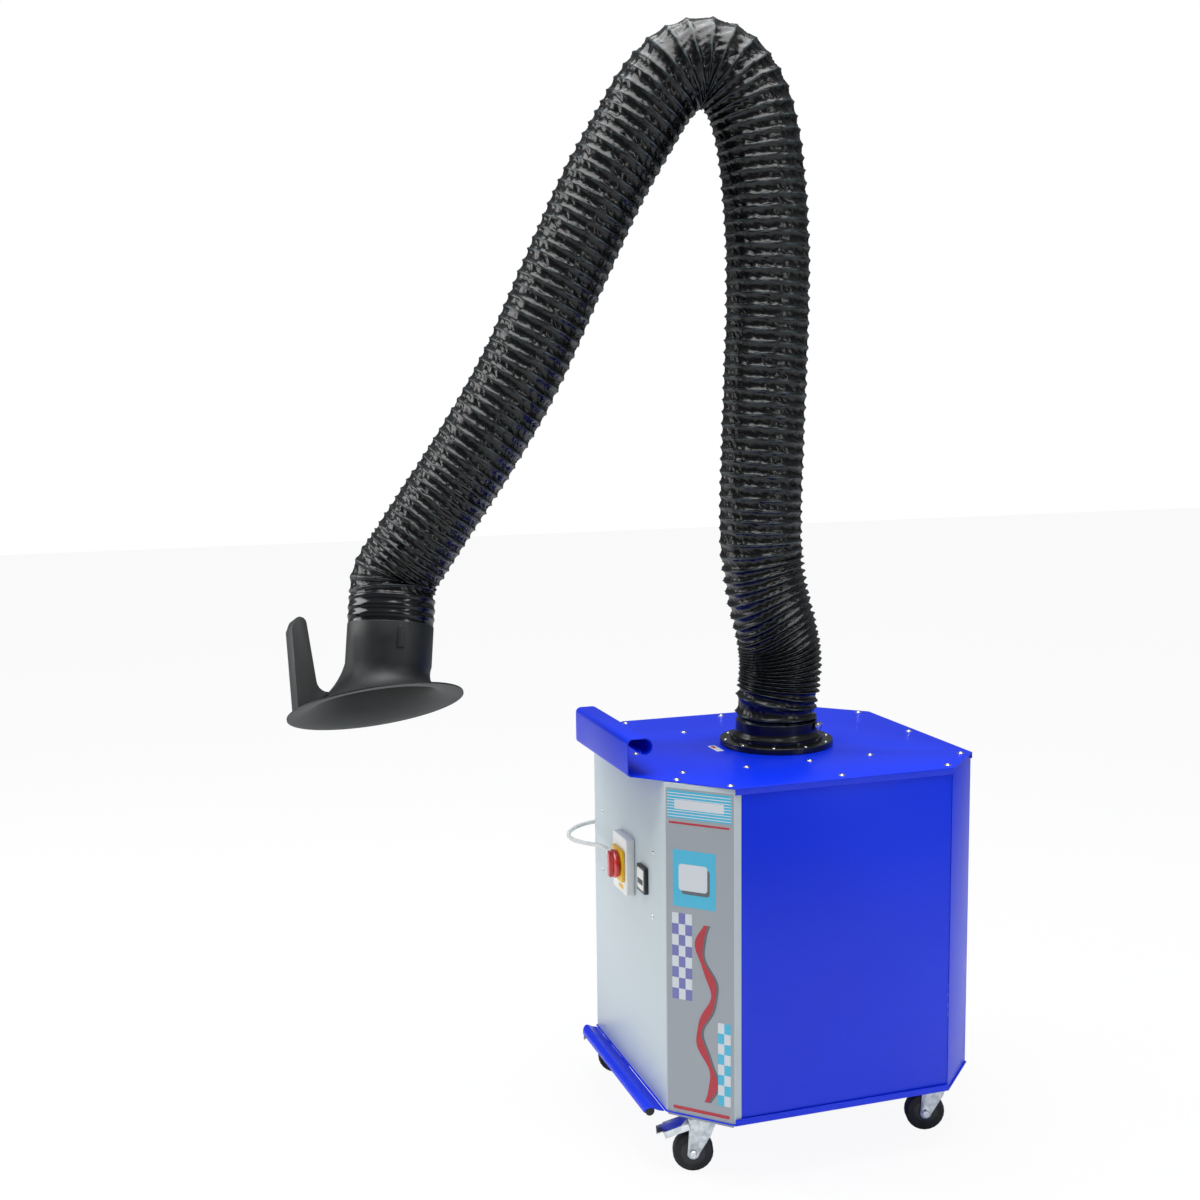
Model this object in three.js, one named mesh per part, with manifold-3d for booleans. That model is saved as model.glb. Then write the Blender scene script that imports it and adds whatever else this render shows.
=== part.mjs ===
// Mobile fume extractor: a wheeled filter cabinet with a self-supporting hose arm and a suction hood.
// Millimetres, +Z up, floor at z = 0. The front panel (switch and push handle) faces -Y.
import * as THREE from 'three';
import { mergeVertices } from 'three/addons/utils/BufferGeometryUtils.js';
import Module from 'manifold-3d';

const wasm = await Module();
wasm.setup();

// ---------------------------------------------------------------- driving dimensions
const CABINET_WIDTH = 642;        // across the side panels
const CABINET_DEPTH = 662;        // front panel to rear panel
const CABINET_HEIGHT = 660;       // underside of the base pan to the top of the lid
const CHAMFER = 102;              // leg of each 45-degree corner
const SHEET = 2;                  // thickness of every folded sheet
const GAP = 0.3;                  // clearance between pieces that touch
const OVERHANG = 3;               // lid and base pan beyond the panels
const LIP = 13;                   // folded edges of lid and base pan
const RETURN_FLANGE = 12;         // front panel's fold on to the side
const CASTOR_HEIGHT = 123;        // floor to the underside of the base pan
const WHEEL_RADIUS = 40;
const WHEEL_WIDTH = 26;
const CASTOR_TRAIL = 26;          // swivel axis to axle
const CASTOR_INSET = 44;          // swivel axis to the chamfered edge
const HOSE_RADIUS = 85;           // outside of the hose at rest
const HOSE_WALL = 4;
const HOSE_SLIP = 3;              // between the hose and the spigot that it slips over
const DUCT_RADIUS = HOSE_RADIUS - HOSE_WALL - HOSE_SLIP;
const DUCT_WALL = 3;
const ARM_HEADING = 12;           // degrees from straight ahead, towards -X

const rad = THREE.MathUtils.degToRad;
const V2 = (x, y) => new THREE.Vector2(x, y);
const V3 = (x, y, z) => new THREE.Vector3(x, y, z);

const halfWidth = CABINET_WIDTH / 2;
const halfDepth = CABINET_DEPTH / 2;
const baseBottom = CASTOR_HEIGHT;
const baseTop = baseBottom + SHEET;
const lidTop = CASTOR_HEIGHT + CABINET_HEIGHT;
const lidBottom = lidTop - SHEET;

// ---------------------------------------------------------------- materials
const finish = (color, roughness, metalness = 0) => new THREE.MeshStandardMaterial({ color, roughness, metalness });
const bluePaint = finish(0x0f35d8, 0.35);
const greyPaint = finish(0xc6d2d8, 0.4);
const zinc = finish(0xb9c0c4, 0.35, 0.9);
const steel = finish(0x8d9499, 0.45, 0.9);
const blackRubber = finish(0x101113, 0.6);
const blackPlastic = finish(0x1b1d20, 0.5);
const hoseFabric = finish(0x14161a, 0.3);
const hoodPlastic = finish(0x323c40, 0.6);
const whitePlastic = finish(0xeff0ee, 0.45);
const yellowPlastic = finish(0xf0c800, 0.45);
const redPlastic = finish(0xc01414, 0.3);
const cordPlastic = finish(0xd5d8d6, 0.5);
const filterPaper = finish(0xe6e4da, 0.9);
const carbonFoam = finish(0x2a2a2c, 0.95);
const castIron = finish(0x4a5054, 0.6, 0.5);

// ---------------------------------------------------------------- helpers
const machine = new THREE.Group();

function add(name, geometry, material, parent = machine) {
  const mesh = new THREE.Mesh(geometry, material);
  mesh.name = name;
  parent.add(mesh);
  return mesh;
}

function placedGroup(x, y, z, parent = machine) {
  const group = new THREE.Group();
  group.position.set(x, y, z);
  parent.add(group);
  return group;
}

function toSolid(geometry) {
  const bare = geometry.clone();
  bare.deleteAttribute('normal');
  bare.deleteAttribute('uv');
  const welded = mergeVertices(bare, 1e-4);
  const vertProperties = new Float32Array(welded.attributes.position.array);
  const triVerts = new Uint32Array(welded.index.array);
  return new wasm.Manifold(new wasm.Mesh({ numProp: 3, vertProperties, triVerts }));
}

function toGeometry(solid) {
  const mesh = solid.getMesh();
  const geometry = new THREE.BufferGeometry();
  geometry.setAttribute('position', new THREE.BufferAttribute(mesh.vertProperties, 3));
  geometry.setIndex(new THREE.BufferAttribute(mesh.triVerts, 1));
  return geometry;
}

const join = (...pieces) => toGeometry(pieces.map(toSolid).reduce((a, b) => a.add(b)));
const cut = (body, ...tools) => toGeometry(tools.map(toSolid).reduce((a, b) => a.subtract(b), toSolid(body)));
const keepInside = (body, tool) => toGeometry(toSolid(body).intersect(toSolid(tool)));

// a box from its lowest and highest corners
function block(x0, y0, z0, x1, y1, z1) {
  return new THREE.BoxGeometry(x1 - x0, y1 - y0, z1 - z0).translate((x0 + x1) / 2, (y0 + y1) / 2, (z0 + z1) / 2);
}

// an outline in X and Y raised from z0 to z1
function slab(points, z0, z1, curveSegments = 12) {
  const shape = points instanceof THREE.Shape ? points : new THREE.Shape(points);
  return new THREE.ExtrudeGeometry(shape, { depth: z1 - z0, bevelEnabled: false, curveSegments }).translate(0, 0, z0);
}

// a closed profile [radius, z] turned about Z
const turned = (profile, segments = 32) => new THREE.LatheGeometry(profile.map(([r, z]) => V2(r, z)), segments).rotateX(Math.PI / 2);
const ring = (inner, outer, z0, z1, segments = 32) =>
  turned([[inner, z0], [outer, z0], [outer, z1], [inner, z1], [inner, z0]], segments);
const rod = (radius, z0, z1, segments = 24) => turned([[0, z0], [radius, z0], [radius, z1], [0, z1]], segments);

// the band between a line of points and the same line moved to its left by the sheet's thickness
function bentSheet(points, thickness = SHEET) {
  const normals = points.slice(1).map((p, i) => {
    const along = p.clone().sub(points[i]).normalize();
    return V2(-along.y, along.x);
  });
  const inner = points.map((p, i) => {
    const before = normals[Math.max(i - 1, 0)];
    const after = normals[Math.min(i, normals.length - 1)];
    const mitre = before.clone().add(after).normalize();
    return p.clone().addScaledVector(mitre, thickness / mitre.dot(before));
  });
  return [...points, ...inner.reverse()];
}

// points of an arc about (cx, cy), angles in degrees
function arc(cx, cy, radius, from, to, steps) {
  return Array.from({ length: steps + 1 }, (_, i) => {
    const a = rad(from + (to - from) * i / steps);
    return V2(cx + radius * Math.cos(a), cy + radius * Math.sin(a));
  });
}

// an outline whose first axis is Y and second is Z, extruded along X from x0 to x1
const alongX = (points, x0, x1) => slab(points, x0, x1).applyMatrix4(
  new THREE.Matrix4().makeBasis(V3(0, 1, 0), V3(0, 0, 1), V3(1, 0, 0)));

// an outline whose first axis is X and second is Z, extruded along Y from y0 to y1
const alongY = (points, y0, y1) => slab(points, -y1, -y0).applyMatrix4(
  new THREE.Matrix4().makeBasis(V3(1, 0, 0), V3(0, 0, 1), V3(0, -1, 0)));

// the octagon of the cabinet, grown outwards by an amount
function octagon(grow, chamfer = CHAMFER) {
  const x = halfWidth + grow;
  const y = halfDepth + grow;
  const c = chamfer + grow * (2 - Math.SQRT2);
  return [V2(x, c - y), V2(x, y - c), V2(x - c, y), V2(c - x, y), V2(-x, y - c), V2(-x, c - y), V2(c - x, -y), V2(x - c, -y)];
}

// ---------------------------------------------------------------- cabinet sheet metal
const outer = octagon(OVERHANG);
const lipX = outer[0].x;
const lipHalfLength = outer[1].y;
const rearY = outer[2].y;
const rearHalfLength = outer[2].x;

function addBasePan() {
  const floor = slab(outer, baseBottom, baseTop);
  const lips = [-1, 1].map((side) => {
    const x0 = side > 0 ? lipX - SHEET : -lipX;
    return block(x0, -lipHalfLength, baseBottom, x0 + SHEET, lipHalfLength, baseBottom + LIP);
  });
  add('base_pan', join(floor, ...lips), bluePaint);
}

const panelBottom = baseTop + GAP;
const panelTop = lidBottom - GAP;
const faces = octagon(0);

function addFrontPanel() {
  const [rightStart, , , , , leftStart, leftBend, rightBend] = faces;
  const path = [V2(-halfWidth, leftStart.y + RETURN_FLANGE), leftStart, leftBend, rightBend, rightStart,
    V2(halfWidth, rightStart.y + RETURN_FLANGE)];
  add('front_panel', slab(bentSheet(path), panelBottom, panelTop), greyPaint);
}

const sideFront = faces[0].y + RETURN_FLANGE + GAP;
const sideRear = faces[1].y - SHEET;

function addSidePanels() {
  add('right_side_panel', block(halfWidth - SHEET, sideFront, panelBottom, halfWidth, sideRear, panelTop), bluePaint);
  add('left_side_panel', block(-halfWidth, sideFront, panelBottom, SHEET - halfWidth, sideRear, panelTop), bluePaint);
}

// rear panel with two columns of slots for the cleaned air
const LOUVRE_LENGTH = 150;
const LOUVRE_HEIGHT = 8;
const LOUVRE_PITCH = 22;
const LOUVRE_ROWS = 7;
const LOUVRE_COLUMN = 95;         // centre of a column from the middle
const LOUVRE_BOTTOM = 70;         // above the base pan

function addRearPanel() {
  const path = [faces[1], faces[2], faces[3], faces[4]];
  const sheet = slab(bentSheet(path), panelBottom, panelTop);
  const slots = [];
  for (const side of [-1, 1]) {
    for (let row = 0; row < LOUVRE_ROWS; row += 1) {
      const x0 = side * LOUVRE_COLUMN - LOUVRE_LENGTH / 2;
      const z0 = baseTop + LOUVRE_BOTTOM + row * LOUVRE_PITCH;
      slots.push(block(x0, halfDepth - 10, z0, x0 + LOUVRE_LENGTH, halfDepth + 10, z0 + LOUVRE_HEIGHT));
    }
  }
  add('rear_panel', cut(sheet, ...slots), bluePaint);
}

// the lid runs forward to the fold of the push handle
const LID_FRONT = 47;             // lid's front edge beyond the front panel
const LID_FRONT_HALF = 166;
const lidFrontY = -halfDepth - LID_FRONT;
const INLET_RADIUS = DUCT_RADIUS - DUCT_WALL;

function addLid() {
  const outline = [outer[0], outer[1], outer[2], outer[3], outer[4], outer[5], V2(-LID_FRONT_HALF, lidFrontY),
    V2(LID_FRONT_HALF, lidFrontY)];
  const sheet = slab(outline, lidBottom, lidTop);
  const sides = [-lipX, lipX - SHEET].map((x0) =>
    block(x0, -lipHalfLength, lidTop - LIP, x0 + SHEET, lipHalfLength, lidTop));
  const rear = block(-rearHalfLength, rearY - SHEET, lidTop - LIP, rearHalfLength, rearY, lidTop);
  const hole = rod(INLET_RADIUS, lidBottom - 5, lidTop + 5, 40);
  add('lid', toGeometry(toSolid(join(sheet, ...sides, rear)).subtract(toSolid(hole))), bluePaint);
}

// the push handle: a plate that rises from the lid's front fold and is rolled back over itself
const HANDLE_HALF = 167;
const HANDLE_RISE = 73;           // above the lid
const HANDLE_FOLD = 8;            // outer radius of the fold up from the lid
const HANDLE_CROWN = 11;          // outer radius of the fold at the top
const HANDLE_FLAT = 24;           // flat top between the two curves
const ROLL_RADIUS = 17;
const CURL_RADIUS = 10;

function addPushHandle() {
  const face = lidFrontY - HANDLE_FOLD - 1;
  const top = lidTop + HANDLE_RISE;
  const rollY = face + HANDLE_CROWN + HANDLE_FLAT;
  const rollZ = top - ROLL_RADIUS;
  const path = [
    V2(lidFrontY - GAP, lidBottom),
    ...arc(face + HANDLE_FOLD, lidBottom + HANDLE_FOLD, HANDLE_FOLD, 270, 180, 4),
    ...arc(face + HANDLE_CROWN, top - HANDLE_CROWN, HANDLE_CROWN, 180, 90, 5),
    ...arc(rollY, rollZ, ROLL_RADIUS, 90, -90, 10),
    ...arc(rollY, rollZ - ROLL_RADIUS + CURL_RADIUS, CURL_RADIUS, 270, 180, 4).slice(1),
  ];
  add('push_handle', alongX(bentSheet(path, -SHEET), -HANDLE_HALF, HANDLE_HALF), bluePaint);
}

// kick guard: a folded nose in front of the base pan that holds a rubber bumper
const GUARD_HALF = 214;
const GUARD_REACH = 41;           // nose beyond the front panel
const GUARD_NOSE = 12;            // outer radius of the nose
const GUARD_CORNER = 20;
const BUMPER_RADIUS = 9.4;

function addKickGuard() {
  const noseY = -halfDepth - GUARD_REACH + GUARD_NOSE;
  const noseZ = baseBottom - 3;
  const path = [
    V2(-halfDepth - OVERHANG - GAP, baseBottom),
    V2(noseY + GUARD_NOSE * 1.2, baseBottom + 3),
    ...arc(noseY, noseZ, GUARD_NOSE, 60, 195, 9),
  ];
  const fold = alongX(bentSheet(path), -GUARD_HALF, GUARD_HALF);
  const plan = new THREE.Shape([V2(GUARD_HALF, -halfDepth), V2(-GUARD_HALF, -halfDepth),
    ...arc(GUARD_CORNER - GUARD_HALF, noseY - GUARD_NOSE + GUARD_CORNER, GUARD_CORNER, 180, 270, 5),
    ...arc(GUARD_HALF - GUARD_CORNER, noseY - GUARD_NOSE + GUARD_CORNER, GUARD_CORNER, 270, 360, 5)]);
  add('kick_guard', keepInside(fold, slab(plan, baseBottom - 40, baseBottom + 40)), bluePaint);
  const bumper = rod(BUMPER_RADIUS, GUARD_CORNER / 2 - GUARD_HALF, GUARD_HALF - GUARD_CORNER / 2, 16).rotateY(Math.PI / 2);
  add('bumper_rod', bumper.translate(0, noseY, noseZ), blackRubber);
}

// ---------------------------------------------------------------- inside the cabinet
const DECK_HEIGHT = 215;          // fan deck above the base pan
const deckBottom = baseTop + DECK_HEIGHT;
const FAN_INLET = 85;
const FILTER_SIDE = 500;
const FILTER_CLEAR = 20;          // between a filter's cut corner and the chamfered panel
const CARBON_DEPTH = 50;
const PREFILTER_DEPTH = 48;
const HEADROOM = 48.1;            // above the prefilter, under the lid
const MOTOR_RADIUS = 72;
const SHAFT_RADIUS = 9;
const RUNNING = 0.4;              // radial clearance of the turning pieces
const SCROLL_RADIUS = 150;
const SCROLL_HEIGHT = 112;

function addFilters() {
  const deck = cut(slab(octagon(-SHEET - 1), deckBottom, deckBottom + SHEET), rod(FAN_INLET, deckBottom - 5, deckBottom + 9));
  add('fan_deck', deck, steel);
  // the stack stands on the deck and the main filter fills what the other two and the headroom leave
  const half = FILTER_SIDE / 2;
  const cornerReach = (CABINET_WIDTH + CABINET_DEPTH) / 2 - CHAMFER - (SHEET + FILTER_CLEAR) * Math.SQRT2;
  const leg = Math.max(0, FILTER_SIDE - cornerReach);
  const corners = [[1, -1], [1, 1], [-1, 1], [-1, -1]].flatMap(([sx, sy]) => {
    const onX = V2(sx * (half - leg), sy * half);
    const onY = V2(sx * half, sy * (half - leg));
    return leg === 0 ? [onX] : sx * sy < 0 ? [onX, onY] : [onY, onX];
  });
  const foot = deckBottom + SHEET + GAP;
  const mainTop = lidTop - SHEET - HEADROOM - PREFILTER_DEPTH - GAP;
  add('carbon_filter', slab(corners, foot, foot + CARBON_DEPTH), carbonFoam);
  add('main_filter', slab(corners, foot + CARBON_DEPTH + GAP, mainTop), filterPaper);
  add('prefilter', slab(corners, mainTop + GAP, mainTop + GAP + PREFILTER_DEPTH), filterPaper);
}

function scrollOutline(radius, growth, outletX) {
  const turns = Array.from({ length: 25 }, (_, i) => {
    const a = i / 24 * 1.5 * Math.PI;
    const r = radius + growth * i / 24;
    return V2(r * Math.cos(a), r * Math.sin(a));
  });
  const end = turns[turns.length - 1];
  return [...turns, V2(outletX, end.y), V2(outletX, 0)];
}

function addFan() {
  const motorTop = deckBottom - GAP - SCROLL_HEIGHT - GAP;
  const motor = join(rod(MOTOR_RADIUS, baseTop + GAP, motorTop, 28),
    block(-30, -MOTOR_RADIUS - 22, baseTop + 25, 30, -MOTOR_RADIUS + 20, motorTop - 20));
  const bore = rod(SHAFT_RADIUS + RUNNING, baseTop + 30, motorTop + 5, 20);
  add('fan_motor', cut(motor, bore), castIron);

  const scrollBottom = motorTop + GAP;
  const scrollTop = scrollBottom + SCROLL_HEIGHT;
  const wall = 3;
  const shell = slab(scrollOutline(SCROLL_RADIUS, 45, 235), scrollBottom, scrollTop);
  const hollow = slab(scrollOutline(SCROLL_RADIUS - wall, 45, 240), scrollBottom + wall, scrollTop - wall);
  const inlet = rod(FAN_INLET, scrollTop - 10, scrollTop + 5, 28);
  const shaftHole = rod(SHAFT_RADIUS + 4, scrollBottom - 5, scrollBottom + 10, 20);
  add('fan_housing', cut(shell, hollow, inlet, shaftHole), steel);

  const wheelBottom = scrollBottom + wall + 8;
  const wheelTop = scrollTop - wall - 8;
  const hub = rod(26, wheelBottom, wheelBottom + 30, 20);
  const backPlate = rod(128, wheelBottom, wheelBottom + 3, 28);
  const shroud = ring(90, 128, wheelTop - 3, wheelTop, 28);
  const blades = Array.from({ length: 7 }, (_, i) =>
    block(60, -1.5, wheelBottom + 2, 124, 1.5, wheelTop - 1).rotateZ(rad(28)).translate(12, -30, 0).rotateZ(i / 7 * 2 * Math.PI));
  const shaftBore = rod(SHAFT_RADIUS + RUNNING, wheelBottom - 5, wheelBottom + 40, 20);
  add('impeller', cut(join(hub, backPlate, shroud, ...blades), shaftBore), steel);
  add('motor_shaft', rod(SHAFT_RADIUS, baseTop + 31, wheelBottom + 28, 20), steel);
}

// ---------------------------------------------------------------- front panel fittings
const panelFace = -halfDepth - GAP;
const SWITCH_Z = 561;             // centre of the switch above the floor
const BOX_WIDTH = 86;
const BOX_HEIGHT = 118;
const BOX_DEPTH = 17.5;
const PLATE_SIDE = 66;
const PLATE_DEPTH = 6;
const KNOB_RADIUS = 29;
const KNOB_DEPTH = 18;
const METER_X = 100;
const METER_WIDTH = 46;
const METER_HEIGHT = 54;
const METER_DEPTH = 8;
const GLAND_RADIUS = 11;
const GLAND_LENGTH = 42;
const CORD_RADIUS = 4.5;

// an outline with rounded corners in X and Z, standing off a face at y towards -Y
function facePlate(x, z, width, height, corner, y, depth) {
  const [x0, x1] = [x - width / 2, x + width / 2];
  const [z0, z1] = [z - height / 2, z + height / 2];
  const outline = [...arc(x1 - corner, z1 - corner, corner, 0, 90, 3), ...arc(x0 + corner, z1 - corner, corner, 90, 180, 3),
    ...arc(x0 + corner, z0 + corner, corner, 180, 270, 3), ...arc(x1 - corner, z0 + corner, corner, 270, 360, 3)];
  return alongY(outline, y - depth, y);
}

function addSwitch() {
  add('switch_box', facePlate(0, SWITCH_Z, BOX_WIDTH, BOX_HEIGHT, 4, panelFace, BOX_DEPTH), whitePlastic);
  const plateFace = panelFace - BOX_DEPTH - GAP;
  add('switch_plate', facePlate(0, SWITCH_Z, PLATE_SIDE, PLATE_SIDE, 6, plateFace, PLATE_DEPTH), yellowPlastic);
  const knobFace = plateFace - PLATE_DEPTH - GAP;
  const dish = turned([[0, 0], [KNOB_RADIUS - 2, 0], [KNOB_RADIUS, 3], [KNOB_RADIUS, 8], [KNOB_RADIUS - 5, 11], [0, 11]], 32);
  const grip = block(-7, 3 - KNOB_RADIUS, 5, 7, KNOB_RADIUS - 3, KNOB_DEPTH);
  const knob = join(dish, grip).rotateX(Math.PI / 2).translate(0, knobFace, SWITCH_Z);
  add('switch_knob', knob, redPlastic);
  add('hour_meter', facePlate(METER_X, SWITCH_Z - 5, METER_WIDTH, METER_HEIGHT, 2, panelFace, METER_DEPTH), blackPlastic);
  const glandX = -BOX_WIDTH / 2 - GAP;
  const gland = turned([[CORD_RADIUS + 0.5, 0], [GLAND_RADIUS, 0], [GLAND_RADIUS, 14], [GLAND_RADIUS - 1.5, 16],
    [GLAND_RADIUS - 1.5, 30], [CORD_RADIUS + 3, GLAND_LENGTH], [CORD_RADIUS + 0.5, GLAND_LENGTH], [CORD_RADIUS + 0.5, 0]], 20);
  add('cable_gland', gland.rotateY(-Math.PI / 2).translate(glandX, glandY, SWITCH_Z), whitePlastic);
}

// ---------------------------------------------------------------- mains cord, its coil and its plug
const glandY = panelFace - GLAND_RADIUS - GAP;
const COIL_X = -420;
const COIL_Y = -40;
const COIL_MIDDLE = 54;           // middle radius of the turns
const COIL_COLUMNS = 3;
const COIL_LAYERS = 4;

class RouteCurve extends THREE.CatmullRomCurve3 {
  constructor(points) {
    super(points.map(([x, y, z]) => V3(x, y, z)), false, 'centripetal');
  }

  getPoint(t, target) {
    const point = super.getPoint(t, target);
    point.z = Math.max(point.z, CORD_RADIUS + 0.1);
    return point;
  }
}

const cordRoute = [
  [-86, glandY, 561], [-110, glandY - 0.8, 561], [-140, -352, 559.5], [-172, -371, 558], [-206, -384, 556.5], [-241, -384.5, 556],
  [-275, -371, 556], [-303, -346, 556.5], [-323, -314, 556.5], [-333, -279, 556], [-334, -245, 555], [-332, -215, 553],
  [-331.5, -190, 546], [-333, -170, 530], [-336, -158, 507], [-340, -153, 478], [-352, -154, 390], [-366, -157, 295],
  [-381, -161, 200], [-398, -166, 115], [-417, -165, 58], [-440, -156, 20], [-464, -139, 5.5], [-482, -112, 4.6],
  [-491, -76, 4.6],
  [-492.3, -40, 4.6],
];
const tailRoute = [
  [-347.7, -40, 4.6], [-347.7, -65, 4.6], [-348, -94, 6], [-348.5, -120, 11], [-349, -144, 17.6], [-349, -158, 19], [-349, -172, 19.2],
];
const PLUG_RADIUS = 18;
const PLUG_LENGTH = 44;

function tubeAlong(points, radius, steps, sides = 8) {
  const section = new THREE.Shape(arc(0, 0, radius, 0, 360, sides).slice(0, sides));
  return new THREE.ExtrudeGeometry(section, { steps, extrudePath: new RouteCurve(points), bevelEnabled: false });
}

function addCord() {
  add('mains_cord', tubeAlong(cordRoute, CORD_RADIUS, 44), cordPlastic);
  const halfBundle = COIL_COLUMNS * CORD_RADIUS;
  const height = 2 * CORD_RADIUS * COIL_LAYERS;
  const coil = ring(COIL_MIDDLE - halfBundle, COIL_MIDDLE + halfBundle, 0.1, height, 24);
  add('mains_cord_coil', coil.translate(COIL_X, COIL_Y, 0), cordPlastic);
  add('mains_cord_tail', tubeAlong(tailRoute, CORD_RADIUS, 12), cordPlastic);
  const [plugX, tailEnd, plugZ] = tailRoute[tailRoute.length - 1];
  const body = turned([[0, 0], [CORD_RADIUS + 3, 0], [CORD_RADIUS + 4, 10], [PLUG_RADIUS, 20], [PLUG_RADIUS, PLUG_LENGTH],
    [0, PLUG_LENGTH]], 24);
  const pins = [-9.5, 9.5].map((x) => rod(2.4, PLUG_LENGTH - 2, PLUG_LENGTH + 18, 12).translate(x, 0, 0));
  add('mains_plug', join(body, ...pins).rotateX(Math.PI / 2).translate(plugX, tailEnd - 2 * GAP, plugZ), blackPlastic);
}

// ---------------------------------------------------------------- castors
const PLATE_LONG = 104;
const PLATE_SHORT = 78;
const PLATE_THICK = 3;
const FORK_THICK = 2.5;
const FORK_HALF = 16;             // inner face of a fork leg from the wheel's middle
const AXLE_RADIUS = 5;
const HEAD_THICK = 9;
const swivelReach = (CABINET_WIDTH / 2 + OVERHANG + halfDepth + OVERHANG - (CHAMFER + OVERHANG * (2 - Math.SQRT2))) / 2
  - CASTOR_INSET / Math.SQRT2;
const SWIVEL_SHIFT = 10;          // the rectangle is deeper than wide, so its castors sit further along Y
const castorPlaces = [
  ['front_right', 1, -1, 252, true],
  ['front_left', -1, -1, 252, true],
  ['rear_right', 1, 1, 252, false],
  ['rear_left', -1, 1, 236, false],
];

function castorFork() {
  const headBottom = baseBottom - GAP - PLATE_THICK - HEAD_THICK;
  const top = headBottom - GAP;
  const disc = rod(27, top - 3, top, 16);
  const legOutline = [V2(-20, top - 3), V2(-20, top), V2(34, top), V2(34, top - 22),
    ...arc(CASTOR_TRAIL, WHEEL_RADIUS, 12, 25, -180, 5), V2(-8, top - 34)].reverse();
  const legs = [-1, 1].map((side) => {
    const y0 = side > 0 ? FORK_HALF : -FORK_HALF - FORK_THICK;
    return alongY(legOutline, y0, y0 + FORK_THICK);
  });
  const bridge = block(-20, -FORK_HALF - FORK_THICK, top - 3, 34, FORK_HALF + FORK_THICK, top);
  return join(disc, bridge, ...legs, castorAxle());
}

function castorWheel() {
  const half = WHEEL_WIDTH / 2;
  const bore = AXLE_RADIUS + RUNNING;
  const tread = WHEEL_RADIUS - 4;
  const profile = [[bore, -half - 2], [13, -half - 2], [13, -half], [tread, -half], [WHEEL_RADIUS, 4 - half],
    [WHEEL_RADIUS, half - 4], [tread, half], [13, half], [13, half + 2], [bore, half + 2], [bore, -half - 2]];
  return turned(profile, 24).rotateX(Math.PI / 2).translate(CASTOR_TRAIL, 0, WHEEL_RADIUS);
}

function castorAxle() {
  const leg = FORK_HALF + FORK_THICK;
  const profile = [[0, -leg - 4], [8, -leg - 4], [8, -leg], [AXLE_RADIUS, -leg], [AXLE_RADIUS, leg], [8, leg], [8, leg + 4], [0, leg + 4]];
  return turned(profile, 16).rotateX(Math.PI / 2).translate(CASTOR_TRAIL, 0, WHEEL_RADIUS);
}

const PEDAL_PIVOT = [36, 104];    // along the trail and above the floor
const PEDAL_LENGTH = 66;
const PEDAL_HALF = 22;
const PEDAL_DROP = 20;            // degrees below level

function brakePedal() {
  const top = block(0, -PEDAL_HALF, -2, PEDAL_LENGTH - 14, PEDAL_HALF, 0);
  const toe = block(PEDAL_LENGTH - 18, 5 - PEDAL_HALF, -2, PEDAL_LENGTH, PEDAL_HALF - 5, 0);
  const sides = [-1, 1].map((side) => {
    const y0 = side > 0 ? PEDAL_HALF - 2 : -PEDAL_HALF;
    return block(0, y0, -14, PEDAL_LENGTH - 14, y0 + 2, 0);
  });
  const [x, z] = PEDAL_PIVOT;
  return join(top, toe, ...sides).rotateY(rad(PEDAL_DROP)).translate(x, 0, z);
}

function addCastors() {
  for (const [name, sideX, sideY, heading, braked] of castorPlaces) {
    const place = placedGroup(sideX * (swivelReach - SWIVEL_SHIFT), sideY * (swivelReach + SWIVEL_SHIFT), 0);
    const plateTop = baseBottom - GAP;
    const plate = block(-PLATE_LONG / 2, -PLATE_SHORT / 2, plateTop - PLATE_THICK, PLATE_LONG / 2, PLATE_SHORT / 2, plateTop)
      .rotateZ(rad(sideX * sideY > 0 ? -45 : 45));
    const head = rod(25, plateTop - PLATE_THICK - HEAD_THICK, plateTop - PLATE_THICK + 1, 16);
    add(`castor_plate_${name}`, join(plate, head), zinc, place);
    const swivel = new THREE.Group();
    swivel.rotation.z = rad(heading);
    place.add(swivel);
    add(`castor_fork_${name}`, castorFork(), zinc, swivel);
    add(`castor_wheel_${name}`, castorWheel(), blackRubber, swivel);
    if (braked) add(`brake_pedal_${name}`, brakePedal(), zinc, swivel);
  }
}

// ---------------------------------------------------------------- arm: rigid skeleton inside the hose
// arm frame: X along the arm's heading, Y to its side, Z up; positions are [x, z]
const arm = placedGroup(0, 0, 0);
arm.rotation.z = rad(-90 - ARM_HEADING);

const FLANGE_RADIUS = DUCT_RADIUS + 39.5;
const FOOT_RADIUS = DUCT_RADIUS + 18;    // turntable's foot on the flange
const FLANGE_THICK = 12;
const flangeTop = lidTop + GAP + FLANGE_THICK;
const SPIGOT_TOP = lidTop + 85;
const HOSE_LEAN = 0.125;          // the hose's first step above the spigot, backwards for each millimetre up
const SKIRT_TOP = SPIGOT_TOP - HOSE_RADIUS * HOSE_LEAN - 1.375;
const SHOULDER = [0, lidTop + 167];
const ELBOW = [160, lidTop + 1352];
const WRIST = [785, lidTop + 367];
const BAR_HALF = 9;               // half thickness of the lower link
const LINK_GAP = 3;               // between the links at a pivot
const LINK_PLATE = 5;
const PIN_RADIUS = 7;

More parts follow.
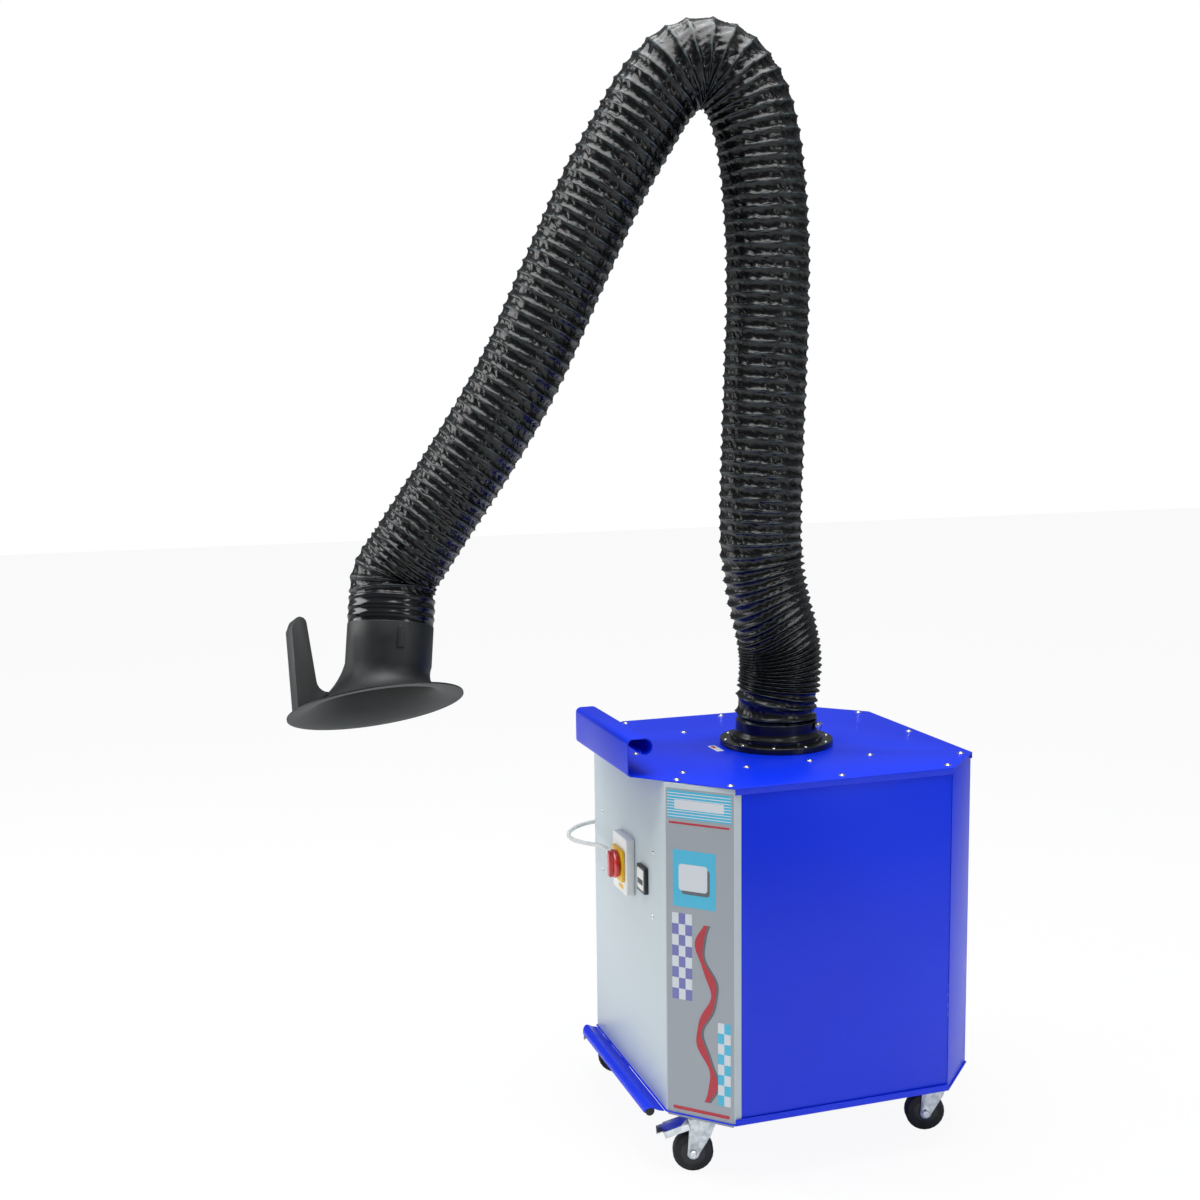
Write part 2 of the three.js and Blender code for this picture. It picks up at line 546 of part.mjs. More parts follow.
function addTurntable() {
  add('inlet_flange', ring(INLET_RADIUS, FLANGE_RADIUS, lidTop + GAP, flangeTop, 36), blackPlastic);
  const foot = flangeTop + GAP;
  const bore = DUCT_RADIUS - DUCT_WALL;
  const profile = [[bore, foot], [FOOT_RADIUS, foot], [FOOT_RADIUS, foot + 7], [DUCT_RADIUS, foot + 7], [DUCT_RADIUS, SPIGOT_TOP],
    [bore, SPIGOT_TOP], [bore, foot]];
  add('arm_turntable', turned(profile, 28), steel, arm);
  const skirtFoot = foot + 7 + GAP;
  const inner = DUCT_RADIUS + GAP;
  const skirt = [[inner, skirtFoot], [FOOT_RADIUS - 6, skirtFoot], [FOOT_RADIUS - 7, skirtFoot + 3], [inner + 3, skirtFoot + 11], [inner + 3, SKIRT_TOP],
    [inner, SKIRT_TOP], [inner, skirtFoot]];
  add('hose_skirt', turned(skirt, 28), hoseFabric, arm);
  add('hose_clamp', ring(inner + 3 + GAP, inner + 5, lidTop + 34, lidTop + 52, 28), zinc, arm);
}

function eyeBar(from, to, halfWidthBar, eyeRadius) {
  const along = Math.atan2(to[1] - from[1], to[0] - from[0]) * 180 / Math.PI;
  const neck = Math.asin(halfWidthBar / eyeRadius) * 180 / Math.PI;
  return [...arc(from[0], from[1], eyeRadius, along + neck, along + 360 - neck, 7),
    ...arc(to[0], to[1], eyeRadius, along + 180 + neck, along + 540 - neck, 7)];
}

const pivotHole = ([x, z], radius = PIN_RADIUS + RUNNING) => rod(radius, -60, 60, 12).rotateX(Math.PI / 2).translate(x, 0, z);

function pivotPin(name, [x, z], half) {
  const profile = [[0, -half - 5], [11, -half - 5], [11, -half], [PIN_RADIUS, -half], [PIN_RADIUS, half], [11, half], [11, half + 5],
    [0, half + 5]];
  add(name, turned(profile, 12).rotateX(Math.PI / 2).translate(x, 0, z), steel, arm);
}

const plateNear = BAR_HALF + LINK_GAP;
const plateFar = plateNear + LINK_PLATE;

function addSkeleton() {
  const crossBar = block(-12, 1 - DUCT_RADIUS, SPIGOT_TOP + GAP, 12, DUCT_RADIUS - 1, SPIGOT_TOP + 8);
  const earFoot = [0, SPIGOT_TOP + 14];
  const ears = [[-plateFar, -plateNear], [plateNear, plateFar]].map(([y0, y1]) =>
    alongY(eyeBar(earFoot, SHOULDER, 12, 15), y0, y1));
  add('shoulder_bracket', cut(join(crossBar, ...ears), pivotHole(SHOULDER)), steel, arm);

  const knee = [56, ELBOW[1] - 100];
  const lowerBar = join(alongY(eyeBar(SHOULDER, knee, 12, 16), -BAR_HALF, BAR_HALF),
    alongY(eyeBar(knee, ELBOW, 12, 16), -BAR_HALF, BAR_HALF));
  add('lower_link', cut(lowerBar, pivotHole(SHOULDER), pivotHole(ELBOW)), steel, arm);

  const upperPlates = [[-plateFar, -plateNear], [plateNear, plateFar]].map(([y0, y1]) => alongY(eyeBar(ELBOW, WRIST, 12, 16), y0, y1));
  const spacers = [0.25, 0.75].map((t) => {
    const x = ELBOW[0] + (WRIST[0] - ELBOW[0]) * t;
    const z = ELBOW[1] + (WRIST[1] - ELBOW[1]) * t;
    return rod(7, -plateNear - 2, plateNear + 2, 16).rotateX(Math.PI / 2).translate(x, 0, z);
  });
  add('upper_link', cut(join(...upperPlates, ...spacers), pivotHole(ELBOW), pivotHole(WRIST)), steel, arm);
  pivotPin('shoulder_pin', SHOULDER, plateFar + GAP);
  pivotPin('elbow_pin', ELBOW, plateFar + GAP);
  pivotPin('wrist_pin', WRIST, plateFar + GAP);
}

// the hood's collar leaves the wrist a little forward and to the side
const collarAxis = V3(Math.tan(rad(4.5)), Math.tan(rad(15.5)), -1).normalize();
const wristPoint = V3(WRIST[0], 0, WRIST[1]);
const onCollar = (distance) => wristPoint.clone().addScaledVector(collarAxis, distance);

// ---------------------------------------------------------------- hose, in five lengths
const hoseLine = [
  [0, SPIGOT_TOP], [-32 * HOSE_LEAN, SPIGOT_TOP + 32], [-8, lidTop + 162], [-5, lidTop + 207], [5, lidTop + 255], [20, lidTop + 318],
  [31, lidTop + 390], [34, lidTop + 470], [30, lidTop + 620], [24, lidTop + 780], [20, lidTop + 930], [22, lidTop + 1050],
  [30, lidTop + 1150], [42, lidTop + 1235], [66, lidTop + 1310], [105, lidTop + 1358], [150, lidTop + 1374],
  [200, lidTop + 1358], [245, lidTop + 1312], [290, lidTop + 1240], [350, lidTop + 1137], [428, lidTop + 975],
  [524, lidTop + 770], [610, lidTop + 625], [700, lidTop + 492], [748, lidTop + 420],
];
const SLEEVE_START = 47;          // wrist pivot to the upper edge of the hood's sleeve
const hosePoints = [...hoseLine.map(([x, z]) => V3(x, 0, z)), onCollar(4), onCollar(SLEEVE_START - GAP)];

const wholeHose = new THREE.CatmullRomCurve3(hosePoints, false, 'centripetal');
const HOSE_SIDES = 16;
const HOSE_JOINT = 0.006;         // of one step of the line: the clearance between two lengths

// the part of the whole line between two of its points, so that neighbours meet square to one another
class HoseStretch extends THREE.Curve {
  constructor(first, last) {
    super();
    this.from = (first + HOSE_JOINT) / (hosePoints.length - 1);
    this.to = (last - HOSE_JOINT) / (hosePoints.length - 1);
  }

  getPoint(t, target = new THREE.Vector3()) {
    return wholeHose.getPoint(this.from + (this.to - this.from) * t, target);
  }
}

// a hollow length of hose between two points of the line
function hoseLength(first, last, steps) {
  const circle = (radius) => arc(0, 0, radius, 0, 360, HOSE_SIDES).slice(0, HOSE_SIDES);
  const section = new THREE.Shape(circle(HOSE_RADIUS));
  section.holes.push(new THREE.Path(circle(HOSE_RADIUS - HOSE_WALL)));
  return new THREE.ExtrudeGeometry(section, { steps, extrudePath: new HoseStretch(first, last), bevelEnabled: false });
}

function addHose() {
  add('hose_shoulder', hoseLength(0, 6, 7), hoseFabric, arm);
  add('hose_lower', hoseLength(6, 12, 5), hoseFabric, arm);
  add('hose_elbow', hoseLength(12, 19, 10), hoseFabric, arm);
  add('hose_upper', hoseLength(19, 24, 5), hoseFabric, arm);
  add('hose_wrist', hoseLength(24, 27, 5), hoseFabric, arm);
}

// ---------------------------------------------------------------- hood
const COLLAR_RADIUS = HOSE_RADIUS + 1;
const COLLAR_START = 97;          // wrist pivot to the collar's upper edge, along the collar's axis
const COLLAR_LENGTH = 80;
const RIM_RADIUS = 176;
const HOOD_WALL = 3;
const rimNormal = V3(-Math.tan(rad(8.5)), Math.tan(rad(23.2)), -1).normalize();
const rimCentre = V3(825, 62, lidTop + 118);

// one circle of points about a centre, square to a direction
function circlePoints(centre, normal, radius, count) {
  const across = V3(1, 0, 0).addScaledVector(normal, -normal.x).normalize();
  const up = new THREE.Vector3().crossVectors(normal, across);
  return Array.from({ length: count }, (_, i) => {
    const a = i / count * 2 * Math.PI;
    return centre.clone().addScaledVector(across, radius * Math.cos(a)).addScaledVector(up, radius * Math.sin(a));
  });
}

// a closed skin over rings that follow one another and meet again at the first
function ringSkin(rings) {
  const count = rings[0].length;
  const geometry = new THREE.BufferGeometry();
  geometry.setAttribute('position', new THREE.Float32BufferAttribute(rings.flat().flatMap((p) => [p.x, p.y, p.z]), 3));
  const index = [];
  rings.forEach((_, r) => {
    const next = (r + 1) % rings.length;
    for (let i = 0; i < count; i += 1) {
      const j = (i + 1) % count;
      index.push(r * count + i, next * count + j, next * count + i, r * count + i, r * count + j, next * count + j);
    }
  });
  geometry.setIndex(index);
  return geometry;
}

// the bell's section at an angle from the collar (0) to the rim (90 degrees), offset towards the mouth
function bellRing(angle, inset) {
  const turn = Math.sin(angle);
  const foot = onCollar(COLLAR_START + COLLAR_LENGTH);
  const normal = collarAxis.clone().lerp(rimNormal, turn).normalize();
  const centre = foot.lerp(rimCentre, turn).addScaledVector(normal, inset * turn);
  const radius = COLLAR_RADIUS + (RIM_RADIUS - COLLAR_RADIUS) * (1 - Math.cos(angle)) - inset * Math.cos(angle);
  return { centre, normal, radius };
}

const BELL_STEPS = 6;
const HOOD_SIDES = 28;

const bellAngles = Array.from({ length: BELL_STEPS + 1 }, (_, i) => i / BELL_STEPS * Math.PI / 2);
const ringOf = ({ centre, normal, radius }) => circlePoints(centre, normal, radius, HOOD_SIDES);

function addHood() {
  const outside = [circlePoints(onCollar(COLLAR_START), collarAxis, COLLAR_RADIUS, HOOD_SIDES),
    ...bellAngles.map((a) => ringOf(bellRing(a, 0)))];
  const inside = [...bellAngles.map((a) => ringOf(bellRing(a, HOOD_WALL))).reverse(),
    circlePoints(onCollar(COLLAR_START), collarAxis, COLLAR_RADIUS - HOOD_WALL, HOOD_SIDES)];
  add('hood', ringSkin([...outside, ...inside]), hoodPlastic, arm);
}

// handle: a paddle that stands on the flange, along one radius of the rim
const HANDLE_AZIMUTH = 28;        // degrees from the arm's heading, towards its side
const HANDLE_THICK = 32;
const HANDLE_TALL = 185;
const HANDLE_INNER = 126;         // inner edge of the paddle from the rim's centre
const HANDLE_FILLET = 22;

// the hood filled solid and grown by a clearance, to trim the handle's foot
function hoodEnvelope() {
  const clear = GAP * 2;
  const below = rimCentre.clone().addScaledVector(rimNormal, 30);
  const core = 1;
  return ringSkin([circlePoints(onCollar(0), collarAxis, core, HOOD_SIDES),
    circlePoints(onCollar(0), collarAxis, COLLAR_RADIUS + clear, HOOD_SIDES),
    ...bellAngles.map((a) => ringOf(bellRing(a, -clear))), circlePoints(below, rimNormal, RIM_RADIUS, HOOD_SIDES),
    circlePoints(below, rimNormal, core, HOOD_SIDES)]);
}

function addHoodHandle() {
  const across = V3(1, 0, 0).addScaledVector(rimNormal, -rimNormal.x).normalize();
  const aside = new THREE.Vector3().crossVectors(across, rimNormal);
  const turn = rad(HANDLE_AZIMUTH);
  const outwards = across.multiplyScalar(Math.cos(turn)).addScaledVector(aside, Math.sin(turn));
  const up = rimNormal.clone().negate();
  const filletFoot = 30;
  const outline = [V2(HANDLE_INNER - HANDLE_FILLET, -3), V2(RIM_RADIUS - 4, -3), V2(RIM_RADIUS - 14, HANDLE_TALL - 24),
    ...arc(RIM_RADIUS - 34, HANDLE_TALL - 13, 13, 25, 180, 6),
    ...arc(HANDLE_INNER - HANDLE_FILLET, filletFoot + HANDLE_FILLET, HANDLE_FILLET, 0, -90, 5)];
  const paddle = slab(outline, -HANDLE_THICK / 2, HANDLE_THICK / 2);
  const sideways = new THREE.Vector3().crossVectors(outwards, up);
  const frame = new THREE.Matrix4().makeBasis(outwards, up, sideways).setPosition(rimCentre);
  add('hood_handle', cut(paddle.applyMatrix4(frame), hoodEnvelope()), hoodPlastic, arm);
}

// wrist: a yoke on the pitch pin, a block on the roll pin, and the sleeve that the hose is clamped to
const ROLL_DROP = 34;             // roll axis below the pitch axis
const SLEEVE_RADIUS = HOSE_RADIUS - 0.4;

function addWrist() {
  const rollZ = WRIST[1] - ROLL_DROP;
  const eye = alongY(arc(WRIST[0], WRIST[1], 15, 0, 360, 18).slice(0, 18), -BAR_HALF, BAR_HALF);
  const stem = block(WRIST[0] - 8, -BAR_HALF, rollZ - 2, WRIST[0] + 8, BAR_HALF, WRIST[1] - 8);
  const rollPin = rod(6, WRIST[0] - 26, WRIST[0] + 26, 16).rotateY(Math.PI / 2).translate(0, 0, rollZ);
  add('wrist_yoke', cut(join(eye, stem, rollPin), pivotHole(WRIST)), steel, arm);

  const rollHole = rod(6 + RUNNING, WRIST[0] - 40, WRIST[0] + 40, 16).rotateY(Math.PI / 2).translate(0, 0, rollZ);
  const cheeks = [[WRIST[0] - 22, WRIST[0] - 13], [WRIST[0] + 13, WRIST[0] + 22]].map(([x0, x1]) =>
    block(x0, -13, rollZ - 30, x1, 13, rollZ + 12));
  const spider = rod(12, 60, COLLAR_START - 6, 16);
  const spokes = [0, 120, 240].map((a) => block(0, -3, COLLAR_START - 16, SLEEVE_RADIUS - 1.5, 3, COLLAR_START - 6).rotateZ(rad(a)));
  const web = block(-22, -13, 56, 22, 13, 68);
  const sleeve = ring(SLEEVE_RADIUS - 3, SLEEVE_RADIUS, SLEEVE_START, COLLAR_START - GAP, HOOD_SIDES);
  const alongCollar = new THREE.Matrix4().makeRotationFromQuaternion(
    new THREE.Quaternion().setFromUnitVectors(V3(0, 0, 1), collarAxis)).setPosition(wristPoint);
  const lower = join(spider, ...spokes, web).applyMatrix4(alongCollar);
  add('wrist_block', cut(join(...cheeks, lower, sleeve.applyMatrix4(alongCollar)), rollHole), steel, arm);
}

addBasePan();
addFrontPanel();
addSidePanels();
addRearPanel();
addLid();
addPushHandle();
addKickGuard();
addFilters();
addFan();
addSwitch();
addCord();
addCastors();
addTurntable();
addSkeleton();
addHose();
addHood();
addHoodHandle();
addWrist();

// ---------------------------------------------------------------- origin: middle of the footprint, on the floor
const cordPieces = ['mains_cord', 'mains_cord_coil', 'mains_cord_tail', 'mains_plug'];
const bounds = new THREE.Box3();
machine.updateMatrixWorld(true);
machine.traverse((piece) => {
  if (piece.isMesh && !cordPieces.includes(piece.name)) bounds.expandByObject(piece, true);
});
const middle = bounds.getCenter(V3(0, 0, 0));
machine.position.set(-middle.x, -middle.y, -bounds.min.z);

export default machine;
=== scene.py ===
# %% [markdown]
# # Mobile fume extractor
# A powder-coated filter cabinet on castors carries a ribbed hose arm that ends in a moulded hood.
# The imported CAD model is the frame: it gives every piece its place. Here each visible piece gets its finish,
# its fine shape and its small parts. Sizes are written in millimetres and turned to metres once.

# %% Load the frame
import math
import random

import bmesh
import bpy
import numpy as np
from mathutils import Matrix, Vector


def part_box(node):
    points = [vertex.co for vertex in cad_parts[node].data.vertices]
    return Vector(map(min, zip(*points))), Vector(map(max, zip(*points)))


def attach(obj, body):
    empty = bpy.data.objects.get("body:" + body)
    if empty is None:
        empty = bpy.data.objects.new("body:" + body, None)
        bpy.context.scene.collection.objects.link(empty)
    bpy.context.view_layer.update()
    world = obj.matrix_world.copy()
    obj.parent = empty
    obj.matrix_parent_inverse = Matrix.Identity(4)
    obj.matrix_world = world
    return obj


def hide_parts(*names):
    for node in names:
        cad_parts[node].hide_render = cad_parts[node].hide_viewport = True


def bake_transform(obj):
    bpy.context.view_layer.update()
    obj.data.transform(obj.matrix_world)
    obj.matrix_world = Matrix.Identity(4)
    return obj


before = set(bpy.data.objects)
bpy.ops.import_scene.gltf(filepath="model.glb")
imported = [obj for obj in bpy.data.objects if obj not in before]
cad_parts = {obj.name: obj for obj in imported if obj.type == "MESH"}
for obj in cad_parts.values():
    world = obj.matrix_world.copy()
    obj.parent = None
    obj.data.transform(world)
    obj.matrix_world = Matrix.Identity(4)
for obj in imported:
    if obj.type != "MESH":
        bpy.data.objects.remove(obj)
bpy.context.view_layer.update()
MM = 0.001
lid_low, lid_high = (np.array(c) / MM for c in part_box("lid"))
flange_low, flange_high = (np.array(c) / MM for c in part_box("inlet_flange"))
CENTRE_Y = (flange_low[1] + flange_high[1]) / 2  # the arm's turning axis, on the cabinet's middle
LID_TOP = lid_high[2]
print("cabinet centre y", round(CENTRE_Y, 1), "lid top", round(LID_TOP, 1))

# %% [markdown]
# ## Colour and node helpers
# Paint and plastic colours are known by their sRGB hex values, while shaders work in linear light, so one
# function turns one into the other. One more function adds a node with its settings and its links.


# %% Colours and nodes
def linear(hex_colour):
    channels = [int(hex_colour[i:i + 2], 16) / 255 for i in (1, 3, 5)]
    return tuple(c / 12.92 if c <= 0.04045 else ((c + 0.055) / 1.055) ** 2.4 for c in channels) + (1.0,)


def add_node(tree, kind, links=None, **settings):
    node = tree.nodes.new(kind)
    for key, value in settings.items():
        setattr(node, key, value)
    for key, value in (links or {}).items():
        socket = node.inputs[key]
        if isinstance(value, bpy.types.NodeSocket):
            tree.links.new(value, socket)
        else:
            socket.default_value = value
    return node


def put_in_scene(name, data):
    thing = bpy.data.objects.new(name, data)
    bpy.context.scene.collection.objects.link(thing)
    return thing


def start_material(name, colour, roughness, metallic=0.0, **shader):
    material = bpy.data.materials.new(name)
    material.use_nodes = True
    tree = material.node_tree
    bsdf = tree.nodes["Principled BSDF"]
    bsdf.inputs["Base Color"].default_value = linear(colour)
    bsdf.inputs["Roughness"].default_value = roughness
    bsdf.inputs["Metallic"].default_value = metallic
    for key, value in shader.items():
        bsdf.inputs[key.replace("_", " ")].default_value = value
    place = add_node(tree, "ShaderNodeTexCoord").outputs["Object"]
    return material, tree, bsdf, place


def mottled(tree, bsdf, place, colours, scale_mm, detail=4.0, low=0.35, high=0.65, stretch=(1, 1, 1)):
    """The base colour drifts between two shades over patches of about scale_mm."""
    scaled = add_node(tree, "ShaderNodeMapping", {"Vector": place, "Scale": stretch})
    noise = add_node(tree, "ShaderNodeTexNoise",
                     {"Vector": scaled.outputs[0], "Scale": 1 / (scale_mm * MM), "Detail": detail})
    ramp = add_node(tree, "ShaderNodeValToRGB", {"Fac": noise.outputs["Fac"]})
    ramp.color_ramp.elements[0].position, ramp.color_ramp.elements[1].position = low, high
    ramp.color_ramp.elements[0].color, ramp.color_ramp.elements[1].color = (linear(c) for c in colours)
    tree.links.new(ramp.outputs["Color"], bsdf.inputs["Base Color"])
    return noise


def varied_gloss(tree, bsdf, noise_factor, low, high):
    spread = add_node(tree, "ShaderNodeMapRange",
                      {"Value": noise_factor, "From Min": 0.3, "From Max": 0.7, "To Min": low, "To Max": high})
    tree.links.new(spread.outputs[0], bsdf.inputs["Roughness"])


def raised(tree, bsdf, height, depth_mm, strength=1.0):
    bump = add_node(tree, "ShaderNodeBump", {"Height": height, "Distance": depth_mm * MM, "Strength": strength})
    tree.links.new(bump.outputs[0], bsdf.inputs["Normal"])


def noise_at(tree, place, scale_mm, detail=2.0, **settings):
    return add_node(tree, "ShaderNodeTexNoise",
                    {"Vector": place, "Scale": 1 / (scale_mm * MM), "Detail": detail, **settings}).outputs["Fac"]


# %% [markdown]
# ## Powder coats
# The cabinet is folded steel sheet, sprayed with polyester powder and baked. The powder melts into a glossy
# skin with a faint orange peel, a few millimetres from wave to wave, so highlights on it look soft and slightly
# rippled. One deep blue and one light grey are used.


# %% Powder coats
def powder_coat(name, shade_dark, shade_light, gloss_low, gloss_high):
    material, tree, bsdf, place = start_material(name, shade_light, gloss_low, Coat_Weight=0.06,
                                                 Coat_Roughness=0.15, Specular_IOR_Level=0.32)
    patches = mottled(tree, bsdf, place, (shade_dark, shade_light), 420, 1.0, 0.2, 0.8)
    varied_gloss(tree, bsdf, patches.outputs["Fac"], gloss_low, gloss_high)
    peel = noise_at(tree, place, 3.5, 1.0)  # orange peel, 3 to 4 mm from wave to wave
    raised(tree, bsdf, peel, 0.02)
    return material


blue_coat = powder_coat("powder_coat_signal_blue", "#002BDA", "#0334EC", 0.32, 0.38)
grey_coat = powder_coat("powder_coat_light_grey", "#BCC8CD", "#C4CFD3", 0.36, 0.44)

# %% [markdown]
# ## Metals
# Zinc plating on the castors is bright but never even: the bath leaves cloudy patches. The hose clamp and the
# screws are stainless or plated steel, and the parts inside are plain rolled or cast metal.


# %% Metals
def plated(name, dark, light, gloss_low, gloss_high, cloud_mm):
    material, tree, bsdf, place = start_material(name, light, gloss_low, 1.0)
    clouds = mottled(tree, bsdf, place, (dark, light), cloud_mm, 5.0)
    varied_gloss(tree, bsdf, clouds.outputs["Fac"], gloss_high, gloss_low)
    raised(tree, bsdf, noise_at(tree, place, 1.5, 2.0), 0.03)
    return material


zinc_plate = plated("zinc_plated_steel", "#AEB6BA", "#D7DCDD", 0.24, 0.42, 14)
bright_zinc = plated("bright_zinc_pressing", "#C3CACC", "#EEF1F1", 0.12, 0.26, 18)
screw_steel = plated("nickel_plated_screw_steel", "#C9CCCD", "#E8EAEA", 0.16, 0.28, 6)
rolled_steel = plated("rolled_sheet_steel", "#8A9095", "#A3A8AC", 0.38, 0.5, 40)
band_steel = plated("stainless_band_steel", "#4E565E", "#737C84", 0.28, 0.36, 10)
cast_metal = plated("cast_motor_metal", "#545A5E", "#6C7276", 0.55, 0.7, 9)

# %% [markdown]
# ## Plastics and rubber
# The hood and its handle are rotationally moulded polyethylene: matt, dark and slightly cloudy, with a fine
# skin texture. Switch parts are moulded ABS, smooth and harder. Wheels and the bumper are solid rubber.


# %% Plastics and rubber
def moulded(name, dark, light, gloss_low, gloss_high, grain_mm, grain_depth, **shader):
    material, tree, bsdf, place = start_material(name, light, gloss_low, **shader)
    cloud = mottled(tree, bsdf, place, (dark, light), 45, 3.0)
    varied_gloss(tree, bsdf, cloud.outputs["Fac"], gloss_low, gloss_high)
    raised(tree, bsdf, noise_at(tree, place, grain_mm, 2.0), grain_depth)
    return material


hood_skin = moulded("moulded_polyethylene_graphite", "#0F1314", "#171C1D", 0.46, 0.56, 2.2, 0.06, IOR=1.51)
wheel_rubber = moulded("solid_wheel_rubber", "#08090A", "#101112", 0.5, 0.62, 1.6, 0.06)
bumper_rubber = moulded("extruded_bumper_rubber", "#0C0D0E", "#141517", 0.45, 0.55, 1.6, 0.04)
black_abs = moulded("moulded_abs_black", "#0F1114", "#171A1E", 0.3, 0.4, 1.2, 0.03, IOR=1.54)
flange_abs = moulded("moulded_flange_black", "#08090B", "#0E1013", 0.18, 0.26, 3.0, 0.04, IOR=1.54)
white_abs = moulded("moulded_abs_white", "#E6E8E5", "#F2F3F0", 0.3, 0.4, 1.2, 0.02, IOR=1.54)
yellow_abs = moulded("moulded_abs_yellow", "#E8B400", "#F2C400", 0.3, 0.38, 1.2, 0.02, IOR=1.54)
red_abs = moulded("moulded_polycarbonate_red", "#B00C0C", "#D01414", 0.14, 0.22, 1.5, 0.02, IOR=1.58,
                  Coat_Weight=0.4)
cord_pvc = moulded("cord_sheath_pvc_white", "#C9CDCB", "#D9DCDA", 0.4, 0.5, 2.0, 0.03)
cuff_rubber = moulded("soft_cuff_rubber", "#07090C", "#0E1116", 0.14, 0.22, 6.0, 0.12)
filter_paper = moulded("pleated_filter_paper", "#D9D6C8", "#E6E3D7", 0.85, 0.95, 4.0, 0.4)
carbon_foam = moulded("activated_carbon_foam", "#1B1B1C", "#2A2A2B", 0.9, 0.98, 3.0, 0.6)


# %% [markdown]
# ## Hose cloth
# The hose is polyester cloth coated with soft black vinyl and glued over a steel wire helix. The coat is what
# the eye sees: very dark, with small sharp glints on each wrinkle. Along the rib crests the base colour is
# painted a lighter teal grey, a painted highlight of the overhead light broken up by noise, and the crests are
# rougher there. The rib's crest is a mesh attribute, "crest", written when the ribs are made.


# %% Hose cloth
def hose_cloth():
    material, tree, bsdf, place = start_material("vinyl_coated_hose_cloth", "#060809", 0.4, Specular_IOR_Level=0.42)
    # painted highlight: the rib crests get a lighter teal grey base colour for the overhead light along each rib,
    # broken up by noise
    crest = add_node(tree, "ShaderNodeAttribute", attribute_name="crest").outputs["Fac"]
    highlight_breakup = noise_at(tree, place, 9, 4.0)
    # this mask, crest times noise, places the painted crest highlight and also makes the crests rougher
    worn = add_node(tree, "ShaderNodeMath", {0: crest, 1: highlight_breakup}, operation="MULTIPLY").outputs[0]
    shade = add_node(tree, "ShaderNodeValToRGB", {"Fac": worn})
    shade.color_ramp.elements[0].position, shade.color_ramp.elements[1].position = 0.1, 0.55
    shade.color_ramp.elements[0].color = linear("#030405")
    shade.color_ramp.elements[1].color = linear("#4E6167")
    tree.links.new(shade.outputs["Color"], bsdf.inputs["Base Color"])
    gloss = add_node(tree, "ShaderNodeMapRange", {"Value": worn, "From Max": 0.6, "To Min": 0.26, "To Max": 0.46})
    tree.links.new(gloss.outputs[0], bsdf.inputs["Roughness"])
    raised(tree, bsdf, noise_at(tree, place, 2.5, 3.0), 0.12)  # the weave shows through the coat
    return material


hose_material = hose_cloth()


# %% [markdown]
# ## Mesh helpers
# Three ways of making a mesh are used again and again: a skin over rings of points, a sheet folded along a
# line and pulled sideways, and a CAD piece whose sharp edges get the small radius that a press brake or a
# mould leaves. Every new piece is placed by its mesh, and its object stays at the origin.


# %% Mesh helpers
def new_piece(name, verts, faces, material, smooth_degrees=35.0, fix_normals=True):
    mesh = bpy.data.meshes.new(name)
    mesh.from_pydata([tuple(np.array(v) * MM) for v in verts], [], faces)
    if fix_normals:
        work = bmesh.new()
        work.from_mesh(mesh)
        bmesh.ops.remove_doubles(work, verts=work.verts, dist=1e-6)
        bmesh.ops.recalc_face_normals(work, faces=work.faces)
        work.to_mesh(mesh)
        work.free()
    mesh.materials.append(material)
    mesh.shade_smooth()
    mesh.set_sharp_from_angle(angle=math.radians(smooth_degrees))
    return put_in_scene(name, mesh)


def baked(piece):
    """The piece as its modifiers show it, made a plain mesh."""
    bpy.context.view_layer.update()
    graph = bpy.context.evaluated_depsgraph_get()
    mesh = bpy.data.meshes.new_from_object(piece.evaluated_get(graph), preserve_all_data_layers=True,
                                           depsgraph=graph)
    old = piece.data
    piece.modifiers.clear()
    piece.data = mesh
    mesh.name = piece.name
    if old.users == 0:
        bpy.data.meshes.remove(old)
    return piece


def rounded(piece, radius_mm, segments=2, angle=30.0, smooth_degrees=35.0):
    bevel = piece.modifiers.new("edge radius", "BEVEL")
    bevel.width, bevel.segments, bevel.limit_method = radius_mm * MM, segments, "ANGLE"
    bevel.angle_limit, bevel.use_clamp_overlap = math.radians(angle), True
    bevel.harden_normals = False
    baked(piece)
    piece.data.shade_smooth()
    piece.data.set_sharp_from_angle(angle=math.radians(smooth_degrees))
    return piece


def from_node(node, name, material, radius_mm, segments=2, angle=30.0):
    """A copy of a CAD piece with its flat faces joined up and its edges rounded."""
    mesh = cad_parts[node].data.copy()
    mesh.name = name
    mesh.materials.clear()
    mesh.materials.append(material)
    work = bmesh.new()
    work.from_mesh(mesh)
    bmesh.ops.remove_doubles(work, verts=work.verts, dist=2e-5)
    bmesh.ops.dissolve_limit(work, angle_limit=math.radians(1.5), verts=work.verts, edges=work.edges)
    for face in work.faces:
        face.material_index = 0
    work.to_mesh(mesh)
    work.free()
    return rounded(put_in_scene(name, mesh), radius_mm, segments, angle)


def keep(piece, body, slot, *nodes):
    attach(piece, body)
    if nodes:
        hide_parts(*nodes)
    return piece


def skin(rings, closed_loop=False, cap_ends=True):
    """Vertices and faces of a skin over rings with the same number of points."""
    count = len(rings[0])
    verts = [tuple(p) for ring in rings for p in ring]
    faces = []
    steps = len(rings) if closed_loop else len(rings) - 1
    for r in range(steps):
        nxt = (r + 1) % len(rings)
        for i in range(count):
            j = (i + 1) % count
            faces.append((r * count + i, r * count + j, nxt * count + j, nxt * count + i))
    if cap_ends and not closed_loop:
        faces.append(tuple(reversed(range(count))))
        faces.append(tuple(range((len(rings) - 1) * count, len(rings) * count)))
    return verts, faces


def circle(centre, normal, radius, count, start=None):
    normal = np.array(normal) / np.linalg.norm(normal)
    start = np.array(start if start is not None else (1.0, 0.0, 0.0))
    across = start - normal * start.dot(normal)
    across /= np.linalg.norm(across)
    up = np.cross(normal, across)
    turns = np.linspace(0, 2 * math.pi, count, endpoint=False)
    return [np.array(centre) + across * radius * math.cos(a) + up * radius * math.sin(a) for a in turns]


